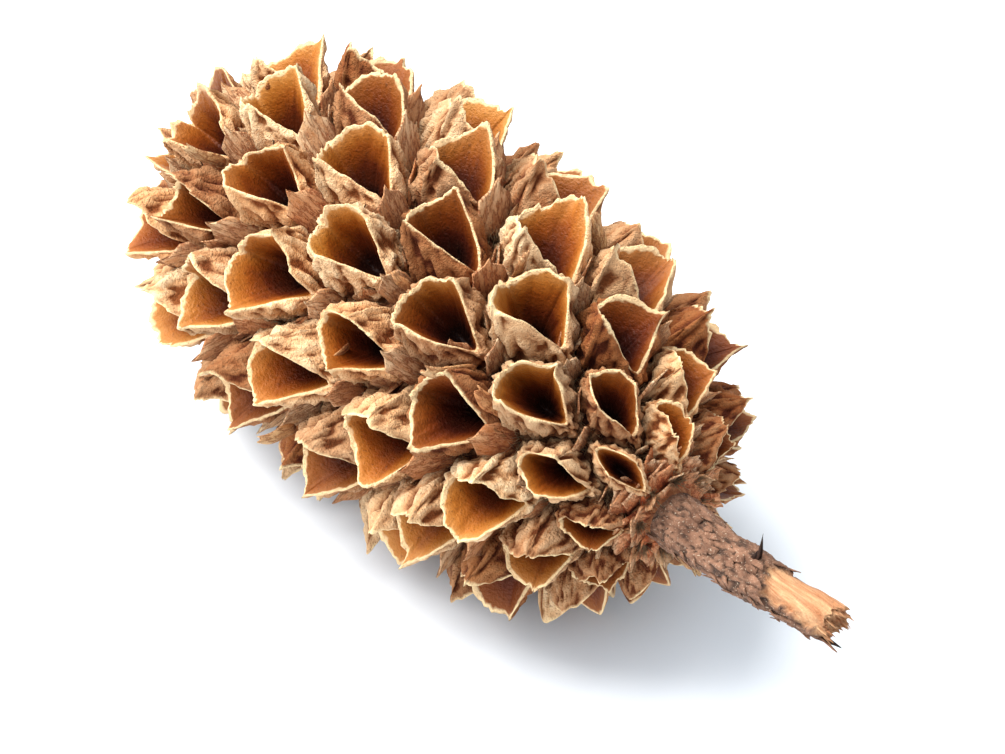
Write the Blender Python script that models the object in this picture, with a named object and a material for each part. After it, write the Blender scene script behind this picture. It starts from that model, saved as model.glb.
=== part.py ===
"""An open, woody she-oak cone on its stalk, lying on its side. Metres, +Z up, +X towards the stalk."""

import math
import random
from typing import NamedTuple

import bmesh
import bpy
import numpy as np

MM = 0.001

# Driving dimensions of the cone's solid core and of what stands on it
CORE_HALF_LENGTH = 12.0 * MM
CORE_RADIUS = 4.75 * MM
STALK_END_ROUNDNESS = 2.0
APEX_ROUNDNESS = 2.85
VALVE_HEIGHT = 2.7 * MM
SLIT_HEIGHT = 1.25 * MM
POCKET_DEPTH = 0.55 * MM
BRACT_HEIGHT = 1.1 * MM
APEX_TIP_HEIGHT = 0.66 * MM
VALLEY_HEIGHT = 0.05 * MM
AXIS_HEIGHT = 6.85 * MM

# The pockets stand in whorls of eight, and each whorl is turned half a step against the next
WHORLS = 12
POCKETS_PER_WHORL = 8
ROWS = 2 * POCKETS_PER_WHORL
ROW_ANGLE = math.tau / ROWS
ROLL = -ROW_ANGLE / 2
END_CROWDING = 0.12
STALK_CROWDING = 0.1
STALK_END_ARC = 1.4 * MM
APEX_END_ARC = 0.5 * MM

# Valves are smaller in the last whorls, most of all beside the stalk
SMALLEST_VALVE = 0.45
GROWTH_PER_WHORL = 0.22
STALK_END_GROWTH = 0.35
APEX_GROWTH = 1.7


class Ring(NamedTuple):
    """A ring round a pocket: its reach in the pocket's diamond plot, how pointed it is, and its heights.

    A ring that is inside closes in where the pocket is small, which keeps the valves' walls thick.
    """

    towards_ends: float
    towards_sides: float
    pointedness: float
    slit_height: float
    tip_height: float
    inside: bool


RING_POINTS = 12
POCKET_RINGS = (
    Ring(0.86, 0.66, 1.45, 0.3 * MM, 0.3 * MM, False),
    Ring(0.80, 0.72, 1.30, SLIT_HEIGHT, VALVE_HEIGHT, False),
    Ring(0.52, 0.46, 1.15, SLIT_HEIGHT, VALVE_HEIGHT, True),
    Ring(0.44, 0.34, 1.10, 0.0, 0.5 * MM, True),
)

# Each valve differs a little from the next, but the ones that the cone lies on keep their height
SEED = 7
HEIGHT_SPREAD = 0.10
REACH_SPREAD = 0.06
LEAN_SPREAD = 0.10
VALVE_TIP_SIDE = 0.45
UNDERSIDE_ANGLE = math.radians(45.0)

# The stalk bends a little up and aside, carries the stub of one twiglet, and is torn off at its far end
STALK_LENGTH = 7.4 * MM
STALK_ROOT_RADIUS = 0.93 * MM
STALK_TIP_RADIUS = 0.70 * MM
STALK_BEND_UP = 0.45 * MM
STALK_BEND_ASIDE = 0.55 * MM
STALK_SWELLING = 0.05
STALK_FURROW = 0.04
STALK_SIDES = 12
STALK_SECTIONS = 22
STUB_SECTION = 13
STUB_HEIGHT = 0.8 * MM
TORN_DEPTH = 0.4 * MM
SOCKET_DEPTH = 2.2 * MM
SOCKET_GAP = 0.15 * MM
SOCKET_SIDES = 16

CONE_COLOUR = (0.42, 0.25, 0.12, 1.0)
STALK_COLOUR = (0.30, 0.20, 0.14, 1.0)


def core_outline():
    """Points (x, radius) along the core's side view, from the stalk's end to the apex, with their arc lengths."""
    turn = np.linspace(0.0, math.pi, 1441)
    power = 2.0 / np.where(turn < math.pi / 2, STALK_END_ROUNDNESS, APEX_ROUNDNESS)
    x = CORE_HALF_LENGTH * np.sign(np.cos(turn)) * np.abs(np.cos(turn)) ** power
    radius = CORE_RADIUS * np.abs(np.sin(turn)) ** power
    steps = np.hypot(np.diff(x), np.diff(radius))
    return x, radius, np.concatenate([[0.0], np.cumsum(steps)])


OUTLINE_X, OUTLINE_RADIUS, OUTLINE_ARC = core_outline()
OUTLINE_LENGTH = OUTLINE_ARC[-1]


def on_outline(arc):
    """The core's x and radius at an arc length, and the outward direction there."""
    step = 0.4 * MM
    x, radius = np.interp(arc, OUTLINE_ARC, OUTLINE_X), np.interp(arc, OUTLINE_ARC, OUTLINE_RADIUS)
    ends = [max(arc - step, 0.0), min(arc + step, OUTLINE_LENGTH)]
    along_x = np.diff(np.interp(ends, OUTLINE_ARC, OUTLINE_X))[0]
    along_r = np.diff(np.interp(ends, OUTLINE_ARC, OUTLINE_RADIUS))[0]
    length = math.hypot(along_x, along_r)
    return x, radius, along_r / length, -along_x / length


def place(arc, angle, height):
    """A point at a height over the core. The angle goes round the cone's axis from row 0, which is low down."""
    x, radius, out_x, out_r = on_outline(arc)
    radius += height * out_r
    from_down = angle + ROLL
    return (x + height * out_x, radius * math.sin(from_down), AXIS_HEIGHT - radius * math.cos(from_down))


def station(index):
    """The arc length of a whorl. Whorls crowd towards both ends, and more towards the stalk."""
    place_in_order = (index + 1) / (WHORLS + 1)
    share = place_in_order ** (1.0 + STALK_CROWDING)
    share -= END_CROWDING * math.sin(math.tau * place_in_order) / math.tau
    return STALK_END_ARC + share * (OUTLINE_LENGTH - STALK_END_ARC - APEX_END_ARC)


STATIONS = {index: station(index) for index in range(-1, WHORLS + 1)}


def is_pocket(whorl, row):
    return 0 <= whorl < WHORLS and (whorl + row) % 2 == 0


def whorl_size(whorl):
    """How full-grown a whorl is: 1 in the middle, less at the crowded ends."""
    from_end = min(whorl + STALK_END_GROWTH, WHORLS - 1 - whorl + APEX_GROWTH)
    return min(1.0, SMALLEST_VALVE + GROWTH_PER_WHORL * from_end)


class Valve:
    """One half of a pocket's beak, with its own height, reach and lean."""

    def __init__(self, whorl, row, side):
        draw = random.Random(SEED * 100003 + (whorl * ROWS + row) * 2 + (side > 0))
        angle = (row + side * VALVE_TIP_SIDE) * ROW_ANGLE + ROLL
        free = min(1.0, abs(math.remainder(angle, math.tau)) / UNDERSIDE_ANGLE) ** 3
        self.size = whorl_size(whorl)
        self.height = self.size * (1.0 + free * draw.uniform(-HEIGHT_SPREAD, HEIGHT_SPREAD))
        self.reach = 1.0 + free * draw.uniform(-REACH_SPREAD, REACH_SPREAD)
        self.lean = free * draw.uniform(-LEAN_SPREAD, LEAN_SPREAD)


def ring_point(whorl, row, step, ring, valves):
    """A point of one ring round a pocket. Step 0 is the slit's end nearest the apex."""
    turn = math.tau * step / RING_POINTS
    along = math.copysign(abs(math.cos(turn)) ** ring.pointedness, math.cos(turn)) * ring.towards_ends
    side = math.copysign(abs(math.sin(turn)) ** ring.pointedness, math.sin(turn)) * ring.towards_sides
    valve = valves[1 if side > 0 else -1]
    rise = math.sin(turn) ** 2
    height = (ring.slit_height + (ring.tip_height - ring.slit_height) * rise) * valve.height
    side *= 1.0 + (valve.reach - 1.0) * rise
    if ring.inside:
        along *= valve.size
        side *= valve.size
    along += valve.lean * rise * height / VALVE_HEIGHT
    return plot_point(whorl, row, along, side, height)


def plot_point(whorl, row, along, side, height):
    """A point in a pocket's plot. Along runs from -1 at the stalk's side to 1, and side from -1 to 1."""
    here = STATIONS[whorl]
    there = STATIONS[whorl + (1 if along > 0 else -1)]
    return place(here + abs(along) * (there - here), (row + side) * ROW_ANGLE, height)


class Cone:
    """The cone's skin: a mesh of diamond plots, each raised into a pocket between two valves."""

    def __init__(self):
        self.mesh = bmesh.new()
        self.shared = {}

    def corner(self, whorl, row):
        """The vertex where four plots meet, raised as the tip of a bract."""
        row %= ROWS
        key = (whorl, row)
        if key not in self.shared:
            height = BRACT_HEIGHT * whorl_size(min(max(whorl, 0), WHORLS - 1))
            self.shared[key] = self.mesh.verts.new(place(STATIONS[whorl], row * ROW_ANGLE, height))
        return self.shared[key]

    def edge_point(self, start, end, third):
        """A vertex on the valley between two corners, one or two thirds of the way along."""
        if start > end:
            start, end, third = end, start, 3 - third
        key = (start, end, third)
        if key not in self.shared:
            share = third / 3.0
            arc = STATIONS[start[0]] + share * (STATIONS[end[0]] - STATIONS[start[0]])
            turn = math.remainder(end[1] - start[1], ROWS)
            angle = (start[1] + share * turn) * ROW_ANGLE
            self.shared[key] = self.mesh.verts.new(place(arc, angle, VALLEY_HEIGHT))
        return self.shared[key]

    def boundary(self, whorl, row):
        """The twelve vertices round a plot, from the apex's corner round by the side."""
        corners = [(whorl + 1, row), (whorl, (row + 1) % ROWS), (whorl - 1, row), (whorl, (row - 1) % ROWS)]
        ring = []
        for start, end in zip(corners, corners[1:] + corners[:1]):
            ring.append(self.corner(*start))
            ring.append(self.edge_point(start, end, 1))
            ring.append(self.edge_point(start, end, 2))
        return ring

    def bridge(self, first, second):
        """Quads between two rings of equal length."""
        for i in range(len(first)):
            j = (i + 1) % len(first)
            self.mesh.faces.new((first[i], first[j], second[j], second[i]))

    def fan(self, ring, tip):
        for i in range(len(ring)):
            self.mesh.faces.new((ring[i], ring[(i + 1) % len(ring)], tip))

    def pocket(self, whorl, row):
        """The valves' foot, outer rim, mouth and throat, and the floor at the bottom of the pocket."""
        valves = {side: Valve(whorl, row, side) for side in (-1, 1)}
        outer = self.boundary(whorl, row)
        for ring in POCKET_RINGS:
            steps = range(RING_POINTS)
            inner = [self.mesh.verts.new(ring_point(whorl, row, step, ring, valves)) for step in steps]
            self.bridge(outer, inner)
            outer = inner
        floor = self.mesh.verts.new(place(STATIONS[whorl], row * ROW_ANGLE, -POCKET_DEPTH))
        self.fan(outer, floor)

    def end_loop(self, whorl, beyond):
        """The zigzag edge that the last whorl leaves open towards an end of the core."""
        loop = []
        for row in range(ROWS):
            if not is_pocket(whorl, row):
                continue
            peak, right, left = (beyond, row), (whorl, (row + 1) % ROWS), (whorl, (row - 1) % ROWS)
            loop += [self.corner(*left), self.edge_point(left, peak, 1), self.edge_point(left, peak, 2)]
            loop += [self.corner(*peak), self.edge_point(peak, right, 1), self.edge_point(peak, right, 2)]
        return loop

    def close_apex(self):
        tip = self.mesh.verts.new(place(OUTLINE_LENGTH, 0.0, APEX_TIP_HEIGHT))
        self.fan(self.end_loop(WHORLS - 1, WHORLS), tip)

    def close_socket(self):
        """The stalk's end closes round a blind socket that the stalk's root stands in."""
        radius = STALK_ROOT_RADIUS + SOCKET_GAP
        mouth_x = place(0.0, 0.0, 0.0)[0]
        loop = self.end_loop(0, -1)
        per_side = len(loop) // SOCKET_SIDES
        rings = []
        for x in (mouth_x, mouth_x - SOCKET_DEPTH):
            ring = []
            for i in range(SOCKET_SIDES):
                vertex = loop[i * per_side].co
                angle = math.atan2(vertex.y, AXIS_HEIGHT - vertex.z)
                spot = (x, radius * math.sin(angle), AXIS_HEIGHT - radius * math.cos(angle))
                ring.append(self.mesh.verts.new(spot))
            rings.append(ring)
        mouth, bottom = rings
        for i in range(SOCKET_SIDES):
            start, end = i * per_side, (i + 1) * per_side
            arc = [loop[n % len(loop)] for n in range(start, end + 1)]
            half = per_side // 2
            for n in range(per_side):
                apex = mouth[i] if n <= half else mouth[(i + 1) % SOCKET_SIDES]
                self.mesh.faces.new((arc[n], arc[n + 1], apex))
            self.mesh.faces.new((arc[half + 1], mouth[(i + 1) % SOCKET_SIDES], mouth[i]))
        self.bridge(mouth, bottom)
        self.mesh.faces.new(bottom)

    def rest_on_floor(self):
        """The lowest valve tips are worn to small flat spots, on which the cone lies."""
        parts = self.mesh.verts[:] + self.mesh.edges[:] + self.mesh.faces[:]
        bmesh.ops.bisect_plane(self.mesh, geom=parts, plane_co=(0, 0, 0), plane_no=(0, 0, 1), clear_inner=True)
        rims = [edge for edge in self.mesh.edges if edge.is_boundary]
        bmesh.ops.holes_fill(self.mesh, edges=rims)

    def build(self):
        for whorl in range(WHORLS):
            for row in range(ROWS):
                if is_pocket(whorl, row):
                    self.pocket(whorl, row)
        self.close_apex()
        self.close_socket()
        bmesh.ops.recalc_face_normals(self.mesh, faces=self.mesh.faces)
        self.rest_on_floor()
        bmesh.ops.triangulate(self.mesh, faces=self.mesh.faces)
        return self.mesh


def along_stalk(section):
    """A section's distance from the root, and its share of the stretch outside the socket."""
    whole = STALK_LENGTH + SOCKET_DEPTH - SOCKET_GAP
    distance = whole * section / (STALK_SECTIONS - 1)
    return distance, max(0.0, distance - SOCKET_DEPTH) / (whole - SOCKET_DEPTH)


def stalk_point(section, step, outward=1.0):
    """A point of the stalk's skin, or nearer its middle where outward is less than 1."""
    distance, free = along_stalk(section)
    turn = math.tau * step / STALK_SIDES
    radius = STALK_ROOT_RADIUS + (STALK_TIP_RADIUS - STALK_ROOT_RADIUS) * free
    if free > 0.0:
        radius *= 1.0 + STALK_SWELLING * math.sin(2.5 * math.tau * free + 0.6)
        radius *= 1.0 + STALK_FURROW * math.cos(4.0 * turn + 4.0 * free)
    if section == STUB_SECTION and step == STALK_SIDES // 2:
        radius += STUB_HEIGHT
    root_x = place(0.0, 0.0, 0.0)[0] - SOCKET_DEPTH + SOCKET_GAP
    y = STALK_BEND_ASIDE * free**2 + outward * radius * math.sin(turn)
    z = AXIS_HEIGHT + STALK_BEND_UP * free**2 - outward * radius * math.cos(turn)
    return root_x + distance, y, z


def build_stalk():
    """The stalk is swept ring by ring from its flat root to its torn end."""
    mesh = bmesh.new()
    draw = random.Random(SEED)
    rings = [
        [mesh.verts.new(stalk_point(section, step)) for step in range(STALK_SIDES)]
        for section in range(STALK_SECTIONS)
    ]
    for first, second in zip(rings, rings[1:]):
        for i in range(STALK_SIDES):
            j = (i + 1) % STALK_SIDES
            mesh.faces.new((first[i], first[j], second[j], second[i]))
    for vertex in rings[-1]:
        vertex.co.x += draw.uniform(-TORN_DEPTH, TORN_DEPTH)
    pith = mesh.verts.new(stalk_point(STALK_SECTIONS - 1, 0, outward=0.0))
    pith.co.x -= TORN_DEPTH
    for i in range(STALK_SIDES):
        mesh.faces.new((rings[-1][i], rings[-1][(i + 1) % STALK_SIDES], pith))
    mesh.faces.new(rings[0])
    bmesh.ops.recalc_face_normals(mesh, faces=mesh.faces)
    bmesh.ops.triangulate(mesh, faces=mesh.faces)
    return mesh


def finish(name, mesh, colour, roughness):
    """Makes a named object of a mesh, with its own material."""
    data = bpy.data.meshes.new(name)
    mesh.to_mesh(data)
    mesh.free()
    material = bpy.data.materials.new(name)
    material.use_nodes = True
    shader = material.node_tree.nodes["Principled BSDF"]
    shader.inputs["Base Color"].default_value = colour
    shader.inputs["Roughness"].default_value = roughness
    shader.inputs["Metallic"].default_value = 0.0
    data.materials.append(material)
    made = bpy.data.objects.new(name, data)
    bpy.context.scene.collection.objects.link(made)


def centre_over_origin(meshes):
    """Moves the meshes so that the middle of their common box stands over the origin."""
    corners = [vertex.co for mesh in meshes for vertex in mesh.verts]
    shift = [-(min(c[axis] for c in corners) + max(c[axis] for c in corners)) / 2 for axis in (0, 1)]
    for mesh in meshes:
        bmesh.ops.translate(mesh, verts=mesh.verts, vec=(shift[0], shift[1], 0.0))


def main():
    for old in list(bpy.data.objects):
        bpy.data.objects.remove(old)
    cone = Cone().build()
    stalk = build_stalk()
    centre_over_origin([cone, stalk])
    finish("cone", cone, CONE_COLOUR, 0.75)
    finish("stalk", stalk, STALK_COLOUR, 0.85)


main()
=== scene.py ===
# %% [markdown]
# # An open she-oak cone
# A dry cone of a she-oak is a small woody barrel. Its sides are covered with empty seed pockets, each held
# between two stiff valves that gape like a beak. This lesson dresses the measured solids of one such cone,
# lying on its side, with the real surface: thin ragged lips, ribbed backs, amber hollows, fuzz and bark.
# The solids come from the frame and say where everything is, so every size below starts from them.

# %% Load the frame
import math
import random
from typing import NamedTuple

import bmesh
import bpy
import numpy as np
from mathutils import Matrix, Vector, noise


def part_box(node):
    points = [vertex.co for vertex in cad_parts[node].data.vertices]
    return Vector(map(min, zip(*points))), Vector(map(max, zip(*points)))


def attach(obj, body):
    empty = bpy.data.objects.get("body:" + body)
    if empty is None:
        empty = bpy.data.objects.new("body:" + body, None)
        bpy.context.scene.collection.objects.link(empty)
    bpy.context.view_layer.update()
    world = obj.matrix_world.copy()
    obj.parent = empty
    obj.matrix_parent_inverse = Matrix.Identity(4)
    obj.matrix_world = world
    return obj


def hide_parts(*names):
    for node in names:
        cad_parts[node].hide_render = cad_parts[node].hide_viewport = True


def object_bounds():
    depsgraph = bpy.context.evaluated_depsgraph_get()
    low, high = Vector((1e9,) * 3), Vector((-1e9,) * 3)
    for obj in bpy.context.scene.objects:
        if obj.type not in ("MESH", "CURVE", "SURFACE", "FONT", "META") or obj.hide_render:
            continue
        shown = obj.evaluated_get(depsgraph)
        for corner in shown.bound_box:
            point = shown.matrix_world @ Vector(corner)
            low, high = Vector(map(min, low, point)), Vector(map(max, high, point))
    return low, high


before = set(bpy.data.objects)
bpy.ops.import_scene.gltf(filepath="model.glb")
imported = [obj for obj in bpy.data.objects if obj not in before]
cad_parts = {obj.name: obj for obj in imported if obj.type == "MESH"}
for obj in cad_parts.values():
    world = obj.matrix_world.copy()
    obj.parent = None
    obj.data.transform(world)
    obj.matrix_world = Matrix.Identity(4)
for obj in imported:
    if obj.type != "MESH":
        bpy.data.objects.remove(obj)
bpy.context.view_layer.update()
MM = 0.001

# %% [markdown]
# ## The plan of the cone
# The pockets stand in whorls of eight, and each whorl is turned half a step against the next. A pocket's
# place is then a whorl, which is a distance along the core's outline, and a row, which is an angle round
# its axis. The core is a smooth turned shape. Its outline is a superellipse, blunter at the apex than at
# the stalk.

# %% Named sizes of the core and its layout
CORE_HALF_LENGTH = 12.0 * MM
CORE_RADIUS = 4.75 * MM
STALK_END_ROUNDNESS = 2.0
APEX_ROUNDNESS = 2.85
VALVE_HEIGHT = 2.7 * MM
BRACT_HEIGHT = 1.1 * MM
AXIS_HEIGHT = 6.85 * MM
SOCKET_DEPTH = 2.2 * MM
SOCKET_GAP = 0.15 * MM

WHORLS = 12
ROWS = 16
ROW_ANGLE = math.tau / ROWS
ROLL = -ROW_ANGLE / 2
END_CROWDING = 0.12
STALK_CROWDING = 0.1
STALK_END_ARC = 1.4 * MM
APEX_END_ARC = 0.5 * MM
SMALLEST_VALVE = 0.45
GROWTH_PER_WHORL = 0.22
STALK_END_GROWTH = 0.35
APEX_GROWTH = 1.7

# %% The core's outline, measured by its arc length from the stalk's end
OUTLINE_POINTS = 1441
SLOPE_STEP = 0.4 * MM


def core_outline():
    turn = np.linspace(0.0, math.pi, OUTLINE_POINTS)
    power = 2.0 / np.where(turn < math.pi / 2, STALK_END_ROUNDNESS, APEX_ROUNDNESS)
    x = CORE_HALF_LENGTH * np.sign(np.cos(turn)) * np.abs(np.cos(turn)) ** power
    radius = CORE_RADIUS * np.abs(np.sin(turn)) ** power
    steps = np.hypot(np.diff(x), np.diff(radius))
    return x, radius, np.concatenate([[0.0], np.cumsum(steps)])


OUTLINE_X, OUTLINE_RADIUS, OUTLINE_ARC = core_outline()
OUTLINE_LENGTH = OUTLINE_ARC[-1]


def on_outline(arc):
    """The core's x and radius at arc lengths, and the outward direction there."""
    before, after = np.maximum(arc - SLOPE_STEP, 0.0), np.minimum(arc + SLOPE_STEP, OUTLINE_LENGTH)
    lines = OUTLINE_X, OUTLINE_RADIUS
    x, radius = (np.interp(arc, OUTLINE_ARC, line) for line in lines)
    along_x, along_r = (
        np.interp(after, OUTLINE_ARC, line) - np.interp(before, OUTLINE_ARC, line) for line in lines
    )
    length = np.hypot(along_x, along_r)
    return x, radius, along_r / length, -along_x / length


# %% Where the core's middle stands in the frame
FLATNESS = 0.01 * MM


def core_centre():
    """The stalk's flat root says where the core is, along it and to its side."""
    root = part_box("stalk")[0].x
    root_y = [v.co.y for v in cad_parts["stalk"].data.vertices if v.co.x < root + FLATNESS]
    inside = CORE_HALF_LENGTH - SOCKET_DEPTH + SOCKET_GAP
    return np.array([root - inside, (min(root_y) + max(root_y)) / 2, AXIS_HEIGHT])


CENTRE = core_centre()


def place(arc, angle, height):
    """Points at heights over the core. The angle goes round the cone's axis from row 0, low down."""
    arc, angle, height = np.broadcast_arrays(*(np.asarray(value, float) for value in (arc, angle, height)))
    x, radius, out_x, out_r = on_outline(arc)
    radius = radius + height * out_r
    from_down = angle + ROLL
    spots = np.stack([x + height * out_x, radius * np.sin(from_down), -radius * np.cos(from_down)], axis=-1)
    return spots + CENTRE


print("the core's middle is at", np.round(CENTRE / MM, 3), "mm")
print("the core's outline is", round(OUTLINE_LENGTH / MM, 2), "mm long")


# %% Whorls, rows and how full-grown they are
def station(index):
    """The arc length of a whorl. Whorls crowd towards both ends, and more towards the stalk."""
    place_in_order = (index + 1) / (WHORLS + 1)
    share = place_in_order ** (1.0 + STALK_CROWDING)
    share -= END_CROWDING * math.sin(math.tau * place_in_order) / math.tau
    return STALK_END_ARC + share * (OUTLINE_LENGTH - STALK_END_ARC - APEX_END_ARC)


WHORL_NUMBERS = np.arange(-1, WHORLS + 1)
STATIONS = np.array([station(index) for index in WHORL_NUMBERS])


def arc_at(whorl):
    """The arc length at a whorl's number, or between two whorls."""
    return np.interp(whorl, WHORL_NUMBERS, STATIONS)


def plot_point(whorl, row, along, side, height):
    """Points in a pocket's diamond plot. Along runs from -1 at the stalk's side to 1, and side likewise."""
    return place(arc_at(whorl + along), (row + side) * ROW_ANGLE, height)


def whorl_size(whorl):
    """How full-grown a whorl is: 1 in the middle, less at the crowded ends."""
    whorl = min(max(whorl, 0), WHORLS - 1)
    from_end = min(whorl + STALK_END_GROWTH, WHORLS - 1 - whorl + APEX_GROWTH)
    return min(1.0, SMALLEST_VALVE + GROWTH_PER_WHORL * from_end)


def rows_of(whorl):
    """The rows that have a pocket in this whorl. The other rows have the meeting corners of plots."""
    return [row for row in range(ROWS) if (whorl + row) % 2 == 0]


print("whorl sizes:", [round(whorl_size(whorl), 2) for whorl in range(WHORLS)])

# %% [markdown]
# ## Tools for working by hand in code
# The pieces are modelled with the same operators as by hand: add a primitive, go into edit mode, select,
# extrude, scale, move. An operator acts on all that is selected, so everything is deselected before a new
# piece starts. A few helpers keep these steps short.

# %% Helpers for selecting and shaping
def deselect_all():
    if bpy.context.object and bpy.context.object.mode != "OBJECT":
        bpy.ops.object.mode_set(mode="OBJECT")
    bpy.ops.object.select_all(action="DESELECT")


def start(name):
    """Names the primitive that was just added, and keeps its place in its mesh."""
    bpy.ops.object.transform_apply(location=True, rotation=True, scale=True)
    made = bpy.context.object
    made.name = made.data.name = name
    return made


def activate(piece):
    deselect_all()
    piece.select_set(True)
    bpy.context.view_layer.objects.active = piece


def edit(piece):
    """Goes into edit mode on a piece, with all of it selected."""
    activate(piece)
    bpy.ops.object.mode_set(mode="EDIT")
    bpy.ops.mesh.select_all(action="SELECT")


def select_at_height(piece, height):
    """Selects the vertices at a height, in edit mode on a piece that is one unit high."""
    bpy.ops.mesh.select_mode(type="VERT")
    bpy.ops.mesh.select_all(action="DESELECT")
    mesh = bmesh.from_edit_mesh(piece.data)
    for vertex in mesh.verts:
        vertex.select_set(abs(vertex.co.z - height) < 0.01)
    mesh.select_flush_mode()
    bmesh.update_edit_mesh(piece.data)


def close_up():
    """Turns all faces outwards and leaves edit mode."""
    bpy.ops.mesh.select_all(action="SELECT")
    bpy.ops.mesh.normals_make_consistent(inside=False)
    bpy.ops.object.mode_set(mode="OBJECT")


def apply_all(piece):
    """Applies every modifier of a piece, in their order."""
    activate(piece)
    for modifier in list(piece.modifiers):
        bpy.ops.object.modifier_apply(modifier=modifier.name)


def subdivided(piece, levels):
    smoothing = piece.modifiers.new("smoothing", "SUBSURF")
    smoothing.levels = smoothing.render_levels = levels
    apply_all(piece)


# %% Helpers for reading and writing a whole mesh at once
def read(items, name, width):
    values = np.empty(len(items) * width)
    items.foreach_get(name, values)
    return values.reshape(-1, width)


def spots_of(piece):
    return read(piece.data.vertices, "co", 3)


def values_of(piece, name):
    return read(piece.data.attributes[name].data, "value", 1)[:, 0]


def set_spots(piece, spots):
    piece.data.vertices.foreach_set("co", np.ascontiguousarray(spots, dtype=np.float32).ravel())
    piece.data.update()


def set_values(mesh, name, values):
    """One value for all vertices, or one for each, for the material to read."""
    attribute = mesh.attributes.get(name) or mesh.attributes.new(name, "FLOAT", "POINT")
    each = np.broadcast_to(values, len(mesh.vertices))
    attribute.data.foreach_set("value", np.ascontiguousarray(each, dtype=np.float32))


def held(values):
    """Values held to the range 0 to 1."""
    return np.clip(values, 0.0, 1.0)


# %% The last step of every piece
WORN_FROM = 0.15 * MM


def worn_flat(spots):
    """Tips that would reach below the floor are pressed flat, as on the solid. They keep their order."""
    heights = spots[:, 2]
    pressed = WORN_FROM * np.exp(np.minimum(heights - WORN_FROM, 0.0) / WORN_FROM)
    return np.stack([spots[:, 0], spots[:, 1], np.where(heights < WORN_FROM, pressed, heights)], axis=1)


def finish_piece(piece, material, node):
    """Presses its low tips flat, gives it its material and smooth shading, hangs it under the root, hides its
    solid.
    """
    set_spots(piece, worn_flat(spots_of(piece)))
    piece.data.materials.clear()
    piece.data.materials.append(material)
    piece.data.shade_smooth()
    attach(piece, "root")
    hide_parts(node)
    print(f"{piece.name}: {len(piece.data.polygons)} faces")


# %% [markdown]
# ## Shared shader effects
# Several finishes share the same effects: streaks that run along the fibres, specks and mottling, and fine
# relief. Each effect is a node group with named inputs, built once. A group hands out only masks and heights,
# and the shader itself stays in each material.

# %% Helpers for node trees
def srgb(red, green, blue):
    """A colour as seen on screen, 0 to 255, turned into the linear value that a shader takes."""
    values = [channel / 255.0 for channel in (red, green, blue)]
    return (*[v / 12.92 if v <= 0.04045 else ((v + 0.055) / 1.055) ** 2.4 for v in values], 1.0)


class Tree:
    """A short way to write node trees. A value that is a socket is linked, and any other is set."""

    def __init__(self, tree):
        self.tree = tree

    def add(self, kind, settings=None, **inputs):
        """Adds a node. An input goes by its socket's name, or by i and the socket's number."""
        node = self.tree.nodes.new(kind)
        for name, value in (settings or {}).items():
            setattr(node, name, value)
        for name, value in inputs.items():
            by_number = name[0] == "i" and name[1:].isdigit()
            socket = node.inputs[int(name[1:]) if by_number else name]
            if isinstance(value, bpy.types.NodeSocket):
                self.link(value, socket)
            else:
                socket.default_value = value
        return node

    def link(self, value, socket):
        self.tree.links.new(value, socket)

    def math(self, operation, first, second=0.0):
        return self.add("ShaderNodeMath", {"operation": operation}, i0=first, i1=second).outputs[0]

    def plus(self, first, second):
        return self.math("ADD", first, second)

    def minus(self, first, second):
        return self.math("SUBTRACT", first, second)

    def times(self, first, second):
        return self.math("MULTIPLY", first, second)

    def mix(self, share, first, second, blend="MIX"):
        """Mixes two colours."""
        settings = {"data_type": "RGBA", "blend_type": blend}
        return self.add("ShaderNodeMix", settings, i0=share, i6=first, i7=second).outputs[2]

    def stain(self, colour, tone, strength, clear):
        """Darkens a colour by a tone, the less the nearer the clear mask is to 1."""
        return self.mix(clear, self.mix(strength, colour, srgb(*tone), "MULTIPLY"), colour)

    def ramp(self, value, stops):
        """A colour ramp from stops of a position and a colour."""
        node = self.add("ShaderNodeValToRGB", None, i0=value)
        elements = node.color_ramp.elements
        while len(elements) < len(stops):
            elements.new(1.0)
        for element, (position, colour) in zip(elements, stops):
            element.position = position
            element.color = srgb(*colour)
        return node.outputs[0]

    def span(self, value, low, high):
        """Stretches a value from low..high to 0..1, held to that range."""
        return self.add("ShaderNodeMapRange", {"clamp": True}, i0=value, i1=low, i2=high).outputs[0]

    def noise(self, where, scale, detail, roughness, **own):
        """Smooth noise. With a W of its own it differs from copy to copy."""
        settings = {"noise_dimensions": "4D" if own else "3D"}
        inputs = {"Vector": where, "Scale": scale, "Detail": detail, "Roughness": roughness, **own}
        return self.add("ShaderNodeTexNoise", settings, **inputs).outputs[0]

    def attribute(self, name):
        """A value that the mesh holds at each vertex."""
        return self.add("ShaderNodeAttribute", {"attribute_name": name}).outputs["Fac"]

    def effect(self, group, **inputs):
        """The outputs of a node group that is placed here."""
        return self.add("ShaderNodeGroup", {"node_tree": group}, **inputs).outputs

    def bump(self, height, depth):
        return self.add("ShaderNodeBump", None, Height=height, Distance=depth, Strength=0.9).outputs[0]


def new_material(name, roughness=0.5, specular=0.3):
    """A material, its tree, and its shader's inputs, with the values that are the same all over."""
    material = bpy.data.materials.new(name)
    material.use_nodes = True
    inputs = material.node_tree.nodes["Principled BSDF"].inputs
    inputs["Roughness"].default_value = roughness
    inputs["Specular IOR Level"].default_value = specular
    return material, Tree(material.node_tree), inputs


# %% The fibres effect: streaks, creases and relief along a piece's own direction
def new_group(name, inputs, outputs):
    """A node group with its tree, its inputs to read and its outputs to fill."""
    group = bpy.data.node_groups.new(name, "ShaderNodeTree")
    for label, kind, default in inputs:
        socket = group.interface.new_socket(name=label, in_out="INPUT", socket_type=kind)
        if default is not None:
            socket.default_value = default
    for label in outputs:
        group.interface.new_socket(name=label, in_out="OUTPUT", socket_type="NodeSocketFloat")
    tree = Tree(group)
    return tree, tree.add("NodeGroupInput").outputs, tree.add("NodeGroupOutput").inputs


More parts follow.
